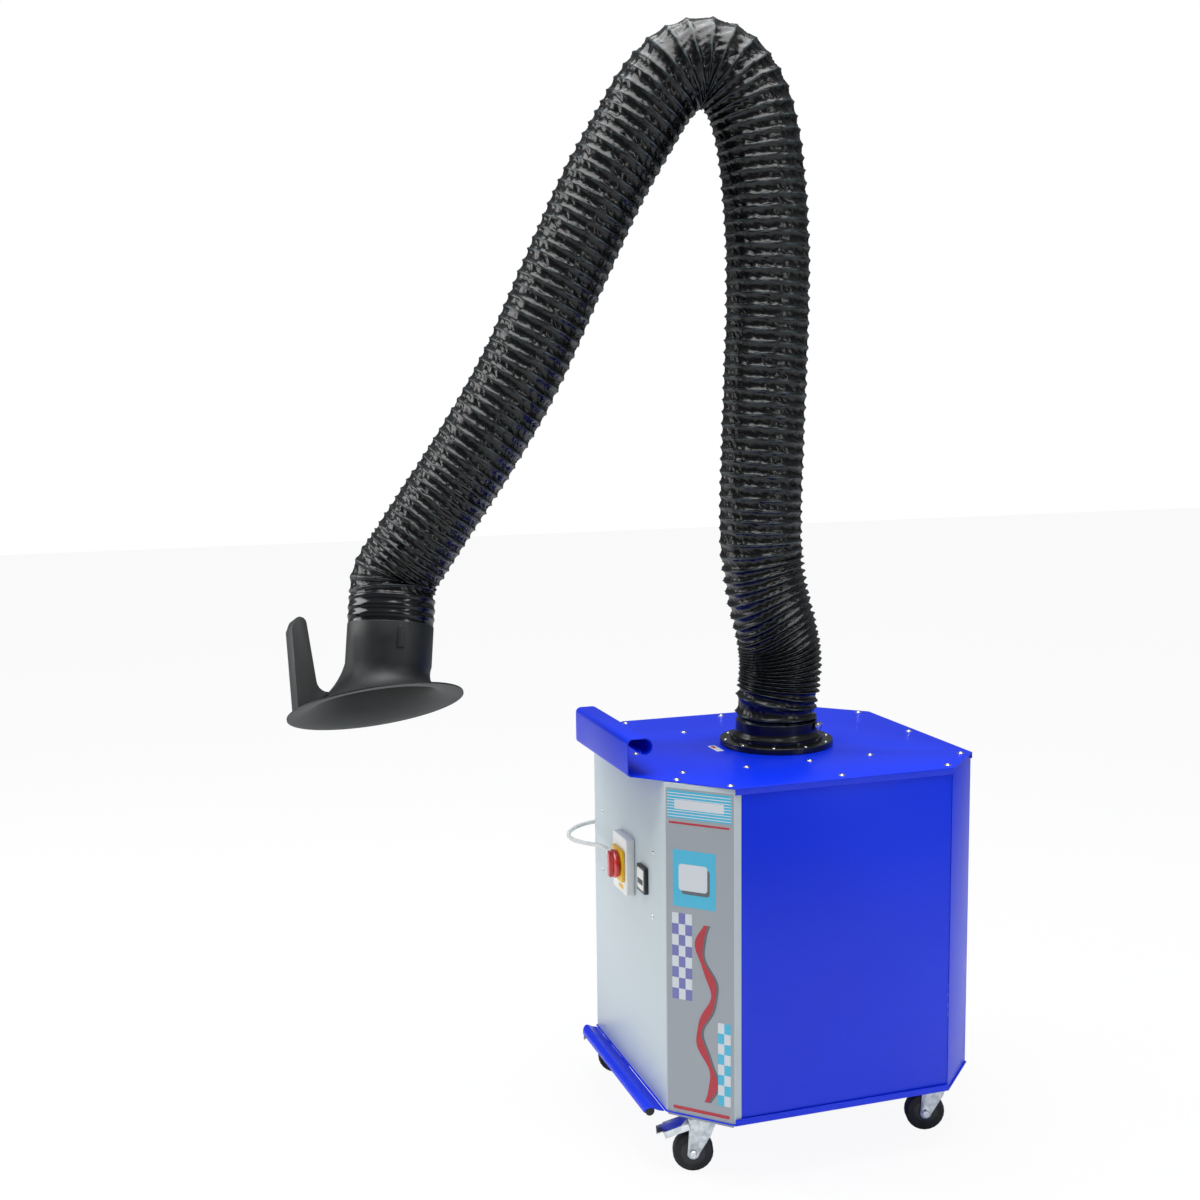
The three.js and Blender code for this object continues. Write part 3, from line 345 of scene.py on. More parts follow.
def lathe(profile, centre, axis, count, start=None, closed=False):
    """Profile points are (radius, distance along the axis)."""
    axis = np.array(axis) / np.linalg.norm(axis)
    rings = [circle(np.array(centre) + axis * h, axis, max(r, 0.01), count, start) for r, h in profile]
    return skin(rings, closed_loop=closed)


def arc2(cx, cz, radius, start, end, steps):
    return [(cx + radius * math.cos(math.radians(start + (end - start) * i / steps)),
             cz + radius * math.sin(math.radians(start + (end - start) * i / steps))) for i in range(steps + 1)]


def folded_sheet(path, thickness, x0, x1):
    """A sheet of even thickness that follows a line in Y and Z and runs from x0 to x1."""
    line = np.array(path, float)
    ahead = np.vstack([line[1:] - line[:-1], line[-1] - line[-2]])
    behind = np.vstack([line[1] - line[0], line[1:] - line[:-1]])
    ahead /= np.linalg.norm(ahead, axis=1)[:, None]
    behind /= np.linalg.norm(behind, axis=1)[:, None]
    mean = ahead + behind
    mean /= np.linalg.norm(mean, axis=1)[:, None]
    widen = 1 / np.maximum(0.3, (mean * ahead).sum(1))
    side = np.stack([-mean[:, 1], mean[:, 0]], 1) * (thickness * widen)[:, None]
    outline = np.vstack([line, (line + side)[::-1]])
    rings = [[(x, y, z) for y, z in outline] for x in (x0, x1)]
    count = len(outline)
    half = len(line)
    verts, faces = skin(rings, cap_ends=False)
    for offset in (0, count):
        for i in range(half - 1):
            faces.append((offset + i, offset + i + 1, offset + count - 2 - i, offset + count - 1 - i))
    return verts, faces


print("helpers ready")

# %% [markdown]
# ## Camera, floor and light
# The eye stands to the right of the machine's front, a little above the lid, and looks slightly down. The
# camera's place is given from the cabinet's middle. The light is a soft studio: a pale room, a wide ceiling
# panel and a softer panel from the front left.

# %% Camera
EYE = np.array([2875.0, CENTRE_Y - 1317.3, 1496.9])
AZIMUTH, DOWN, ROLL = (math.radians(a) for a in (72.018, 7.393, -0.712))
right = np.array([math.cos(AZIMUTH), math.sin(AZIMUTH), 0.0])
back = np.array([math.sin(AZIMUTH) * math.cos(DOWN), -math.cos(AZIMUTH) * math.cos(DOWN), math.sin(DOWN)])
upright = np.cross(back, right)
camera_x = math.cos(ROLL) * right + math.sin(ROLL) * upright
camera_y = -math.sin(ROLL) * right + math.cos(ROLL) * upright
lens = bpy.data.cameras.new("camera")
lens.sensor_width, lens.lens = 36.0, 45.9
lens.clip_start, lens.clip_end = 0.05, 100
camera = put_in_scene("camera", lens)
camera.matrix_world = Matrix([[camera_x[i], camera_y[i], back[i], EYE[i] * MM] for i in range(3)] + [[0, 0, 0, 1]])
bpy.context.scene.camera = camera

# %% Floor and light
floor_material, floor_tree, floor_bsdf, floor_place = start_material("studio_floor", "#F4F5F6", 0.55)
mottled(floor_tree, floor_bsdf, floor_place, ("#F1F2F3", "#F7F8F8"), 900, 2.0)
paper = add_node(floor_tree, "ShaderNodeEmission", {"Color": linear("#FFFFFF"), "Strength": 1.0})
looked_at = add_node(floor_tree, "ShaderNodeLightPath").outputs["Is Camera Ray"]
paper_share = add_node(floor_tree, "ShaderNodeMath", {0: looked_at, 1: 0.93}, operation="MULTIPLY").outputs[0]
floor_mix = add_node(floor_tree, "ShaderNodeMixShader",
                     {0: paper_share, 1: floor_bsdf.outputs[0], 2: paper.outputs[0]})
floor_tree.links.new(floor_mix.outputs[0], floor_tree.nodes["Material Output"].inputs["Surface"])
floor_size = 14000
floor = new_piece("studio_floor",
                  [(-floor_size, -floor_size, -1), (floor_size, -floor_size, -1), (floor_size, floor_size, -1),
                                   (-floor_size, floor_size, -1)], [(0, 1, 2, 3)], floor_material,
                                   fix_normals=False)

bpy.context.scene.view_settings.view_transform = "Standard"
world = bpy.data.worlds.new("pale room")
bpy.context.scene.world = world
world.use_nodes = True
room = world.node_tree
room_light = room.nodes["Background"]
room_place = add_node(room, "ShaderNodeTexCoord").outputs["Generated"]
height = add_node(room, "ShaderNodeSeparateXYZ", {0: room_place}).outputs["Z"]
shade_up = add_node(room, "ShaderNodeMapRange",
                    {"Value": height, "From Min": -0.1, "From Max": 0.9, "To Min": 0.07, "To Max": 0.42}).outputs[0]
room.links.new(shade_up, room_light.inputs["Strength"])
room_light.inputs["Color"].default_value = linear("#F7FAFF")
backdrop = add_node(room, "ShaderNodeBackground", {"Color": linear("#FFFFFF"), "Strength": 1.0})
seen = add_node(room, "ShaderNodeLightPath").outputs["Is Camera Ray"]
both = add_node(room, "ShaderNodeMixShader", {0: seen, 1: room_light.outputs[0], 2: backdrop.outputs[0]})
room.links.new(both.outputs[0], room.nodes["World Output"].inputs["Surface"])


def panel_light(name, place, target, width, height, watts, colour="#FFFFFF"):
    data = bpy.data.lights.new(name, "AREA")
    data.shape, data.size, data.size_y, data.energy = "RECTANGLE", width, height, watts
    data.color = linear(colour)[:3]
    light = put_in_scene(name, data)
    spot, aim = Vector(place) * MM, Vector(target) * MM
    light.matrix_world = Matrix.Translation(spot) @ (aim - spot).to_track_quat("-Z", "Y").to_matrix().to_4x4()


panel_light("ceiling panel", (200, CENTRE_Y - 300, 4300), (0, CENTRE_Y, 800), 3.0, 3.0, 165)
panel_light("front panel light", (-1500, CENTRE_Y - 3700, 2300), (0, CENTRE_Y, 700), 2.0, 2.8, 90)
panel_light("side strip", (3700, CENTRE_Y + 1900, 2700), (0, CENTRE_Y, 1300), 0.7, 2.6, 34)

# %% [markdown]
# ## Mains cord
# The cord leaves its gland on the switch box, bows out a little in front of the panel and goes round the front
# left corner to a clip on the left side. From the clip it hangs to the floor, into a neat coil beside the machine.
# A cord is one tube of even thickness along a smooth line, so the line is made first: loose bends, then turns
# that lie beside and on each other, then the tail with the plug. The route repeats the CAD model's.

# %% Cord sizes and route
CORD_RADIUS = 4.5
CORD_REST = CORD_RADIUS + 0.1  # height of its middle when it lies on the floor
COIL_CENTRE = (-420.0, CENTRE_Y - 40.0)
PANEL_FACE = -331.3
GLAND_Y = PANEL_FACE - 11.3
route = [
    (-86, GLAND_Y, 561), (-110, GLAND_Y - 0.8, 561), (-140, -352, 559.5), (-172, -371, 558),
    (-206, -384, 556.5), (-241, -384.5, 556),
    (-275, -371, 556), (-303, -346, 556.5), (-323, -314, 556.5), (-333, -279, 556), (-334, -245, 555),
    (-332, -215, 553),
    (-331.5, -190, 546), (-333, -170, 530), (-336, -158, 507), (-340, -153, 478), (-352, -154, 390),
    (-366, -157, 295),
    (-381, -161, 200), (-398, -166, 115), (-417, -165, 58), (-440, -156, 20), (-464, -139, 5.5), (-482, -112, 4.6),
    (-491, -76, 4.6),
]
tail_route = [(-348, -94, 6), (-348.5, -120, 11), (-349, -144, 17.6), (-349, -158, 19), (-349, -172, 19.2)]


def centripetal(points, t):
    """A point on the smooth line through all the points, at t from 0 to 1."""
    points = np.array(points, float)
    last = len(points) - 1
    p = last * t
    i = min(int(p), last - 1)
    w = p - i
    if i > 0:
        p0 = points[i - 1]
    else:
        p0 = points[0] * 2 - points[1]
    p1, p2 = points[i], points[i + 1]
    p3 = points[i + 2] if i + 2 <= last else points[last] * 2 - points[last - 1]
    d0, d1, d2 = (max(np.linalg.norm(b - a), 1e-4) ** 0.5 for a, b in ((p0, p1), (p1, p2), (p2, p3)))
    m1 = ((p1 - p0) / d0 - (p2 - p0) / (d0 + d1) + (p2 - p1) / d1) * d1
    m2 = ((p2 - p1) / d1 - (p3 - p1) / (d1 + d2) + (p3 - p2) / d2) * d1
    return p1 + m1 * w + (-3 * p1 + 3 * p2 - 2 * m1 - m2) * w ** 2 + (2 * p1 - 2 * p2 + m1 + m2) * w ** 3


COIL_RADII = (63.0, 54.0, 45.0)
COIL_WAY_IN = 72.3  # radius at which the cord joins and leaves the coil
COIL_TURNS = 12
STEPS_A_TURN = 36


def coil_place(turn):
    """Radius and height after so many turns: three columns, inwards and outwards again, four layers high."""
    layer, column = divmod(min(int(turn), COIL_TURNS - 1), 3)
    return (COIL_RADII[column] if layer % 2 == 0 else COIL_RADII[2 - column]), CORD_REST + 2 * CORD_RADIUS * layer


def coil_line():
    points = []
    for step in range(COIL_TURNS * STEPS_A_TURN + STEPS_A_TURN // 2 + 1):
        turn = step / STEPS_A_TURN
        whole = int(turn)
        radius, height = coil_place(whole)
        before = (COIL_WAY_IN, CORD_REST) if whole == 0 else coil_place(whole - 1)
        move = min(1.0, (turn - whole) * 3)
        move = move * move * (3 - 2 * move)
        if turn >= COIL_TURNS:  # the last half turn climbs down outside the coil
            move = (turn - COIL_TURNS) * 2
            move = move * move * (3 - 2 * move)
            before, (radius, height) = coil_place(COIL_TURNS), (COIL_WAY_IN, CORD_REST)
            swell = math.sin(math.pi * min(1.0, move)) * 3.0
            radius_now = before[0] + (radius - before[0]) * min(1.0, move * 1.8) + swell
            height_now = before[1] + (height - before[1]) * max(0.0, (move - 0.25) / 0.75)
        else:
            radius_now = before[0] + (radius - before[0]) * move
            height_now = before[1] + (height - before[1]) * move
        angle = math.pi - 2 * math.pi * turn
        points.append((COIL_CENTRE[0] + radius_now * math.cos(angle),
                       COIL_CENTRE[1] + radius_now * math.sin(angle), height_now))
    return points


shifted = [(x, y + CENTRE_Y, z) for x, y, z in route]
turns = coil_line()
lead_in = shifted + [turns[0], turns[2]]
cord_line = [centripetal(lead_in, (len(lead_in) - 2) / (len(lead_in) - 1) * i / 260) for i in range(260)]
tail = [turns[-2], turns[-1], (-347.7, CENTRE_Y - 65, 4.6)] + [(x, y + CENTRE_Y, z) for x, y, z in tail_route]
cord_line += turns[:-1] + [centripetal(tail,
                                       1 / (len(tail) - 1) + (1 - 1 / (len(tail) - 1)) * i / 40) for i in range(41)]
cord_line = np.array([(x, y, max(z, CORD_REST)) for x, y, z in cord_line])


# %% Cord
def tube_rings(line, radius, count, reference):
    """Rings square to a line, turned as little as possible from one to the next."""
    line = np.array(line)
    tangents = np.gradient(line, axis=0)
    tangents /= np.linalg.norm(tangents, axis=1)[:, None]
    side = np.array(reference, float)
    rings = []
    for point, tangent in zip(line, tangents):
        side = side - tangent * side.dot(tangent)
        side /= np.linalg.norm(side)
        rings.append([point + radius * (side * math.cos(a) + np.cross(tangent, side) * math.sin(a))
                      for a in np.linspace(0, 2 * math.pi, count, endpoint=False)])
    return rings


cord = new_piece("mains_lead", *skin(tube_rings(cord_line, CORD_RADIUS, 12, (0, 0, 1))), cord_pvc, 60)
keep(cord, "cabinet", "cord_plastic", "mains_cord", "mains_cord_coil", "mains_cord_tail")

# %% Cord clip
CLIP_Y = CENTRE_Y - 215.0
clip_profile = [(-321.4, 544.5), (-321.4, 561.5), (-325, 561.5)] + arc2(-332, 553, 8.6, 60, 300,
                                                                        16) + [(-325, 544.5)]
clip_verts, clip_faces = skin([[(x, CLIP_Y + side, z) for x, z in clip_profile] for side in (-5.0, 5.0)])
cord_clip = rounded(new_piece("cord_clip", clip_verts, clip_faces, black_abs, 30), 0.8, 2)
keep(cord_clip, "cabinet", "black_plastic")

# %% [markdown]
# ## Hose
# The hose hangs on the arm inside it as one smooth line from the turntable to the hood. On that line a plain
# tube is made first, with two numbers on every point: how many ribs it has passed, and where it is round the
# tube. Geometry Nodes then push the wall in between the ribs and crease it, so rib spacing, depth and wrinkles
# can be changed on one modifier. The spacing is not even: the cloth is pulled out straight on the long runs,
# packed close above the turntable, and a rib climbs one pitch in each turn because the wire is a helix.

# %% Hose line
HOSE_RADIUS = 85.0
HEADING = math.radians(12.0)
arm_x = np.array([-math.sin(HEADING), -math.cos(HEADING), 0.0])
arm_y = np.array([math.cos(HEADING), -math.sin(HEADING), 0.0])


def arm_point(x, y, z):
    """A point of the arm: along its heading, to its side, and above the floor."""
    return np.array([0.0, CENTRE_Y, 0.0]) + arm_x * x + arm_y * y + np.array([0, 0, z])


def arm_direction(x, y, z):
    v = arm_x * x + arm_y * y + np.array([0, 0, z])
    return v / np.linalg.norm(v)


ELBOW, WRIST = (160, LID_TOP + 1352), (785, LID_TOP + 367)
collar_axis = arm_direction(math.tan(math.radians(4.5)), math.tan(math.radians(15.5)), -1)
rim_normal = arm_direction(-math.tan(math.radians(8.5)), math.tan(math.radians(23.2)), -1)
wrist_point = arm_point(WRIST[0], 0, WRIST[1])
rim_centre = arm_point(825, 62, LID_TOP + 118)
hose_line = [
    (0, 52), (0, 85), (-4, 117), (-8, 162), (-5, 207), (5, 255), (20, 318), (31, 390), (34, 470), (30, 620),
    (24, 780),
    (20, 930), (22, 1050), (30, 1150), (42, 1235), (66, 1310), (105, 1358), (150, 1374), (200, 1358), (245, 1312),
    (290, 1240), (350, 1137), (428, 975), (524, 770), (610, 625), (700, 492), (748, 420),
]
hose_points = [arm_point(x, 0, LID_TOP + z) for x, z in hose_line]
hose_points += [wrist_point + collar_axis * 4, wrist_point + collar_axis * 46.7]
LAST = len(hose_points) - 1

# %% Hose ribs
# Ribs passed at distances along the line, in millimetres: pulled out at the foot, packed close above it, then
# pulled out again. The second table says how many more ribs the side towards the hood has passed than the
# other side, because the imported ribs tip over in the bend.
RIB_TABLE = [(0, 0.4), (9, 1.0), (37, 2.0), (56, 3.0), (70, 4.0), (157, 14.0), (170, 14.9), (203, 17.2),
             (337, 24.2), (465, 30.0)]
TIP_TABLE = [(0, 0.0), (60, 0.0), (105, 2.2), (157, 4.4), (200, 3.4), (270, 1.8), (400, 0.0)]
RIB_PITCH = 24.0
WRIST_PACK, CUFF_PACK = 330, 120  # the last lengths, where the ribs close up to 20 and then 15 mm

dense = np.array([centripetal(hose_points, i / 2400) for i in range(2401)])
travel = np.concatenate([[0], np.cumsum(np.linalg.norm(np.diff(dense, axis=0), axis=1))])
hose_total = travel[-1]
table_s = [s for s, _ in RIB_TABLE] + [hose_total - WRIST_PACK, hose_total - CUFF_PACK, hose_total]
table_n = [n for _, n in RIB_TABLE]
table_n.append(table_n[-1] + (table_s[-3] - table_s[-4]) / RIB_PITCH)
table_n.append(table_n[-1] + (WRIST_PACK - CUFF_PACK) / 20.0)
table_n.append(table_n[-1] + CUFF_PACK / 15.0)
print("hose length", round(hose_total), "mm,", round(table_n[-1]), "ribs")


def ribs_passed(s):
    return np.interp(s, table_s, table_n)


def distance_at(index):
    return np.interp(index / LAST, np.linspace(0, 1, len(travel)), travel)


ROWS_A_RIB = 9
HOSE_SIDES = 132


def hose_stretch(name, first, last):
    """A plain tube over part of the line, with the rib count and the turn stored on its points."""
    s0, s1 = distance_at(first), distance_at(last)
    n0, n1 = ribs_passed(s0), ribs_passed(s1)
    rows = max(8, int(math.ceil((n1 - n0) * ROWS_A_RIB)))
    counts = np.linspace(n0, n1, rows + 1)
    distances = np.interp(counts, table_n, table_s)
    line = np.stack([np.interp(distances, travel, dense[:, k]) for k in range(3)], 1)
    tangent = np.stack([np.interp(distances + 3, travel, dense[:, k]) - np.interp(distances - 3, travel,
                                                                                  dense[:, k]) for k in range(3)], 1)
    tangent /= np.linalg.norm(tangent, axis=1)[:, None]
    side = arm_y - tangent * (tangent @ arm_y)[:, None]
    side /= np.linalg.norm(side, axis=1)[:, None]
    other = np.cross(tangent, side)
    angles = np.linspace(0, 2 * math.pi, HOSE_SIDES, endpoint=False)
    tip = np.interp(distances, *zip(*TIP_TABLE)) / 2
    rings, passed = [], []
    for k in range(rows + 1):
        radial = side[k] * np.cos(angles)[:, None] + other[k] * np.sin(angles)[:, None]
        passed.append(counts[k] + tip[k] * (radial @ arm_x))
        rings.append(line[k] + radial * HOSE_RADIUS)
    piece = new_piece(name, *skin(rings, cap_ends=False), hose_material, 60, fix_normals=False)
    mesh = piece.data
    mesh.attributes.new("ribs", "FLOAT", "POINT").data.foreach_set("value", np.concatenate(passed))
    mesh.attributes.new("turn", "FLOAT", "POINT").data.foreach_set("value",
                                                                   np.tile(angles / (2 * math.pi), rows + 1))
    return piece


# %% Tree helpers
def open_tree(name, *inputs):
    """A tree with geometry going in and out, its other inputs as (label, kind, value), and its maths."""
    tree = bpy.data.node_groups.new(name, "GeometryNodeTree")
    face = tree.interface
    face.new_socket("Geometry", in_out="INPUT", socket_type="NodeSocketGeometry")
    for label, kind, value in inputs:
        socket = face.new_socket(label, in_out="INPUT", socket_type="NodeSocket" + kind)
        if value is not None:
            socket.default_value = value
    face.new_socket("Material", in_out="INPUT", socket_type="NodeSocketMaterial")
    face.new_socket("Geometry", in_out="OUTPUT", socket_type="NodeSocketGeometry")

    def maths(operation, *values, clamp=False):
        return add_node(tree, "ShaderNodeMath", dict(enumerate(values)), operation=operation,
                        use_clamp=clamp).outputs[0]

    return tree, add_node(tree, "NodeGroupInput").outputs, maths


def close_tree(tree, geometry, given, **only):
    """Every tree ends with real geometry that wears the given material."""
    real = add_node(tree, "GeometryNodeRealizeInstances", {"Geometry": geometry}).outputs[0]
    worn = {"Geometry": real, "Material": given["Material"], **only}
    dressed = add_node(tree, "GeometryNodeSetMaterial", worn).outputs[0]
    add_node(tree, "NodeGroupOutput", {"Geometry": dressed})
    return tree


def stored(tree, name, data_type="FLOAT"):
    reader = add_node(tree, "GeometryNodeInputNamedAttribute", {"Name": name}, data_type=data_type)
    return reader.outputs["Attribute"]


def set_input(modifier, label, value):
    for item in modifier.node_group.interface.items_tree:
        if item.item_type == "SOCKET" and item.in_out == "INPUT" and item.name == label:
            modifier[item.identifier] = value
            return
    raise KeyError(label)


# %% Rib tree
def rib_tree():
    """Pushes a plain tube's wall in between its ribs, and creases the cloth there."""
    tree, given, maths = open_tree(
        "hose ribs", ("Valley depth", "Float", 0.0085), ("Wire radius", "Float", 0.0022),
        ("Crease depth", "Float", 0.0062),
        ("Creases round", "Float", 36.0), ("Crease slant", "Float", 1.25), ("Seed", "Float", 3.0))
    ribs, turn = stored(tree, "ribs"), stored(tree, "turn")
    helix = maths("ADD", ribs, turn)
    band = maths("FRACT", helix)
    from_middle = maths("ABSOLUTE",
                        maths("SUBTRACT", maths("MULTIPLY", band, 2.0), 1.0))  # 1 on a rib, 0 between two
    wall = maths("POWER", from_middle, 2.6)
    hollow = maths("MULTIPLY", maths("SUBTRACT", 1.0, wall), given["Valley depth"])
    wire = maths("POWER", from_middle, 16.0)
    # creases run slantwise from rib to rib, so the turn is sheared by the place in the band
    slanted = maths("ADD", maths("MULTIPLY", turn, given["Creases round"]),
                    maths("MULTIPLY", band, given["Crease slant"]))
    angle = maths("DIVIDE", maths("MULTIPLY", slanted, 2 * math.pi), given["Creases round"])
    reach = maths("DIVIDE", given["Creases round"], 2 * math.pi)
    row = maths("FLOOR", helix)
    level = maths("ADD", maths("MULTIPLY", row, 0.75), maths("MULTIPLY", band, 0.4))
    spot = add_node(tree, "ShaderNodeCombineXYZ", {0: maths("MULTIPLY", maths("COSINE", angle), reach),
                                                   1: maths("MULTIPLY", maths("SINE", angle), reach),
                                                   2: level}).outputs[0]
    noise = add_node(tree, "ShaderNodeTexNoise",
                     {"Vector": spot, "W": given["Seed"], "Scale": 1.0, "Detail": 2.0, "Roughness": 0.55},
                     noise_dimensions="4D").outputs["Fac"]
    crease = maths("SUBTRACT", 1.0, maths("ABSOLUTE", maths("MULTIPLY", maths("SUBTRACT", noise, 0.5), 5.0)),
                   clamp=True)
    softly = maths("POWER",
                   maths("MULTIPLY", maths("SUBTRACT", 1.0, maths("POWER", from_middle, 3.0)), 1.0, clamp=True),
                   0.7)
    creasing = maths("MULTIPLY", maths("MULTIPLY", crease, softly), given["Crease depth"])
    outwards = maths("ADD", maths("SUBTRACT", maths("MULTIPLY", wire, given["Wire radius"]), hollow), creasing)
    normal = add_node(tree, "GeometryNodeInputNormal").outputs[0]
    move = add_node(tree, "ShaderNodeVectorMath", {0: normal, "Scale": outwards}, operation="SCALE").outputs[0]
    # crest is 1 on the rib tops, where the hose cloth paints its highlight
    crested = add_node(tree, "GeometryNodeStoreNamedAttribute",
                       {"Geometry": given["Geometry"], "Name": "crest", "Value": maths("POWER", from_middle, 12.0)},
                       data_type="FLOAT", domain="POINT").outputs[0]
    shaped = add_node(tree, "GeometryNodeSetPosition", {"Geometry": crested, "Offset": move}).outputs[0]
    return close_tree(tree, shaped, given)


ribbing = rib_tree()


def ribbed(piece, **sizes):
    modifier = piece.modifiers.new("ribs", "NODES")
    modifier.node_group = ribbing
    for label, value in sizes.items():
        set_input(modifier, label.replace("_", " "), value)
    set_input(modifier, "Material", hose_material)
    baked(piece)
    piece.data.shade_smooth()
    return piece


# %% Hose lengths
hose_foot = ribbed(hose_stretch("hose_at_shoulder", 0.0, 7.0), Crease_depth=0.0026)
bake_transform(hose_foot)
hose_rise = ribbed(hose_stretch("hose_along_lower_arm", 7.0, 13.0))
hose_bend = ribbed(hose_stretch("hose_over_elbow", 13.0, 20.0))
arm_point(105, 0, ELBOW[1]) * MM
arm_point(222, 0, ELBOW[1]) * MM
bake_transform(hose_bend)
hose_fall = ribbed(hose_stretch("hose_along_upper_arm", 20.0, 24.3))
hose_turn = ribbed(hose_stretch("hose_above_wrist", 24.3, 26.3))
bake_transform(hose_turn)
hose_end = ribbed(hose_stretch("hose_at_wrist", 26.3, 28.0))
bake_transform(hose_end)
for length, node in ((hose_foot, "hose_shoulder"), (hose_rise, "hose_lower"), (hose_bend, "hose_elbow"),
                     (hose_fall, "hose_upper"),
                     (hose_turn, "hose_wrist")):
    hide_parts(node)
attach(hose_rise, "lower_arm")
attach(hose_fall, "upper_arm")
print("hose triangles",
      sum(len(p.data.polygons) * 2 for p in (hose_foot, hose_rise, hose_bend, hose_fall, hose_turn, hose_end)))

# %% [markdown]
# ## Hood
# The hood is one moulding: a straight collar that flares into a flat, slanted flange. It is a skin over rings
# that lean over from square to the collar to square to the rim, outside and then back inside.

# %% Hood
COLLAR_RADIUS, COLLAR_START, COLLAR_LENGTH, RIM_RADIUS, HOOD_WALL = 86.0, 97.0, 80.0, 176.0, 3.0
HOOD_SIDES = 112
BELL_STEPS = 22


def bell_ring(turn, inset):
    foot = wrist_point + collar_axis * (COLLAR_START + COLLAR_LENGTH)
    lean = math.sin(turn)
    normal = collar_axis * (1 - lean) + rim_normal * lean
    normal /= np.linalg.norm(normal)
    centre = foot * (1 - lean) + rim_centre * lean + normal * inset * lean
    radius = COLLAR_RADIUS + (RIM_RADIUS - COLLAR_RADIUS) * (1 - math.cos(turn)) - inset * math.cos(turn)
    return circle(centre, normal, radius, HOOD_SIDES, arm_x)


bell_turns = [i / BELL_STEPS * math.pi / 2 for i in range(BELL_STEPS + 1)]
outside = [circle(wrist_point + collar_axis * (COLLAR_START + h), collar_axis, COLLAR_RADIUS + r, HOOD_SIDES, arm_x)
           for h, r in ((0, -1.2), (0.4, -0.3), (1.4, 0), (40, 0))]
outside += [bell_ring(t, 0) for t in bell_turns]
inside = [bell_ring(t, HOOD_WALL) for t in reversed(bell_turns)]
inside += [circle(wrist_point + collar_axis * (COLLAR_START + h), collar_axis, COLLAR_RADIUS - HOOD_WALL,
                  HOOD_SIDES, arm_x) for h in (40, 0)]
hood = new_piece("hood_bell", *skin(outside + inside, closed_loop=True), hood_skin, 50)


def bell_lining():
    """Inside the mouth the plastic is greener at the rim, and its base colour darkens deeper in the throat: painted
    shade of the recess.
    """
    material, tree, bsdf, place = start_material("moulded_polyethylene_sooty_throat", "#1D2322", 0.6, IOR=1.51)
    inwards = add_node(tree, "ShaderNodeVectorMath", {0: place, 1: tuple(rim_centre * MM)},
                       operation="SUBTRACT").outputs[0]
    depth = add_node(tree, "ShaderNodeVectorMath", {0: inwards, 1: tuple(-rim_normal)},
                     operation="DOT_PRODUCT").outputs["Value"]
    patchy = add_node(tree, "ShaderNodeMath", {0: noise_at(tree, place, 30, 3.0), 1: 0.02},
                      operation="MULTIPLY").outputs[0]
    deep = add_node(tree, "ShaderNodeMath", {0: depth, 1: patchy}, operation="ADD").outputs[0]
    reach = add_node(tree, "ShaderNodeMapRange", {"Value": deep, "From Min": 0.004, "From Max": 0.032}).outputs[0]
    # painted shade: the base colour goes from the rim tint to near black with depth into the throat
    shade = add_node(tree, "ShaderNodeValToRGB", {"Fac": reach})
    shade.color_ramp.elements[0].color, shade.color_ramp.elements[1].color = linear("#1B211F"), linear("#020303")
    tree.links.new(shade.outputs["Color"], bsdf.inputs["Base Color"])
    raised(tree, bsdf, noise_at(tree, place, 2.5, 2.0), 0.08)
    return material


hood.data.materials.append(bell_lining())
for index, polygon in enumerate(hood.data.polygons):
    polygon.material_index = 1 if index >= len(outside) * HOOD_SIDES else 0
keep(hood, "hood", "hood_plastic", "hood")

grip = from_node("hood_handle", "hood_grip", hood_skin, 5.0, 4, 25.0)
keep(grip, "hood", "hood_plastic", "hood_handle")

# %% [markdown]
# ## Cuff and clamp
# A soft rubber cuff with three rolled ridges joins the hose to the hood. At the foot a stainless worm-drive
# band holds the hose on its spigot, above a cloth skirt that spreads over the turntable's rim.

# %% Cuff
cuff_profile = [(84.9, 42), (86.5, 43.5), (86.8, 47), (84.9, 49.5), (84.9, 58), (86.6, 61), (87.2, 64.5),
                (86.6, 68), (84.9, 71),
                (84.9, 76), (86.4, 79), (86.9, 82), (86.2, 85.5), (84.9, 88), (84.9, 96.4), (83.0, 96.4),
                (83.0, 42)]
cuff = new_piece("hose_cuff", *lathe(cuff_profile, wrist_point, collar_axis, 96, arm_x, closed=True),
                 cuff_rubber, 60)
keep(cuff, "wrist_block", "wheel_rubber")

# %% Skirt and worm-drive band
def skirt_rings():
    profile = [(84.2, 51.5), (84.6, 34), (84.4, 30), (86.5, 26), (90.5, 21.5), (90.8, 20.6), (82.0, 20.6),
               (81.6, 51.5)]
    rng = random.Random(4)
    folds = [(rng.uniform(0.4, 1.0), rng.randint(5, 17), rng.uniform(0, 6.3)) for _ in range(5)]
    rings = []
    for level, (radius, height) in enumerate(profile):
        loose = {3: 0.5, 4: 1.0, 5: 1.0}.get(level, 0.0)
        ring = circle((0, CENTRE_Y, LID_TOP + height), (0, 0, 1), radius, 120)
        for i, point in enumerate(ring):
            angle = 2 * math.pi * i / 120
            push = loose * sum(a * math.sin(n * angle + p) for a, n, p in folds) * 0.35
            ring[i] = point + np.array([math.cos(angle), math.sin(angle), 0]) * push
        rings.append(ring)
    return rings


skirt = new_piece("hose_foot_cloth", *skin(skirt_rings(), closed_loop=True), hose_material, 70)
keep(skirt, "arm_base", "hose_fabric", "hose_skirt")


def block_at(centre, along, outwards, length, depth, height):
    """Corners and faces of a small block: along it, out from the part, and upwards."""
    along, outwards = (np.array(v) / np.linalg.norm(v) for v in (along, outwards))
    up = np.cross(along, outwards)
    corners = [np.array(centre) + along * a * length / 2 + outwards * b * depth / 2 + up * c * height / 2
               for c in (-1, 1) for a, b in ((-1, -1), (1, -1), (1, 1), (-1, 1))]
    return corners, [(0, 3, 2, 1), (4, 5, 6, 7), (0, 1, 5, 4), (1, 2, 6, 5), (2, 3, 7, 6), (3, 0, 4, 7)]


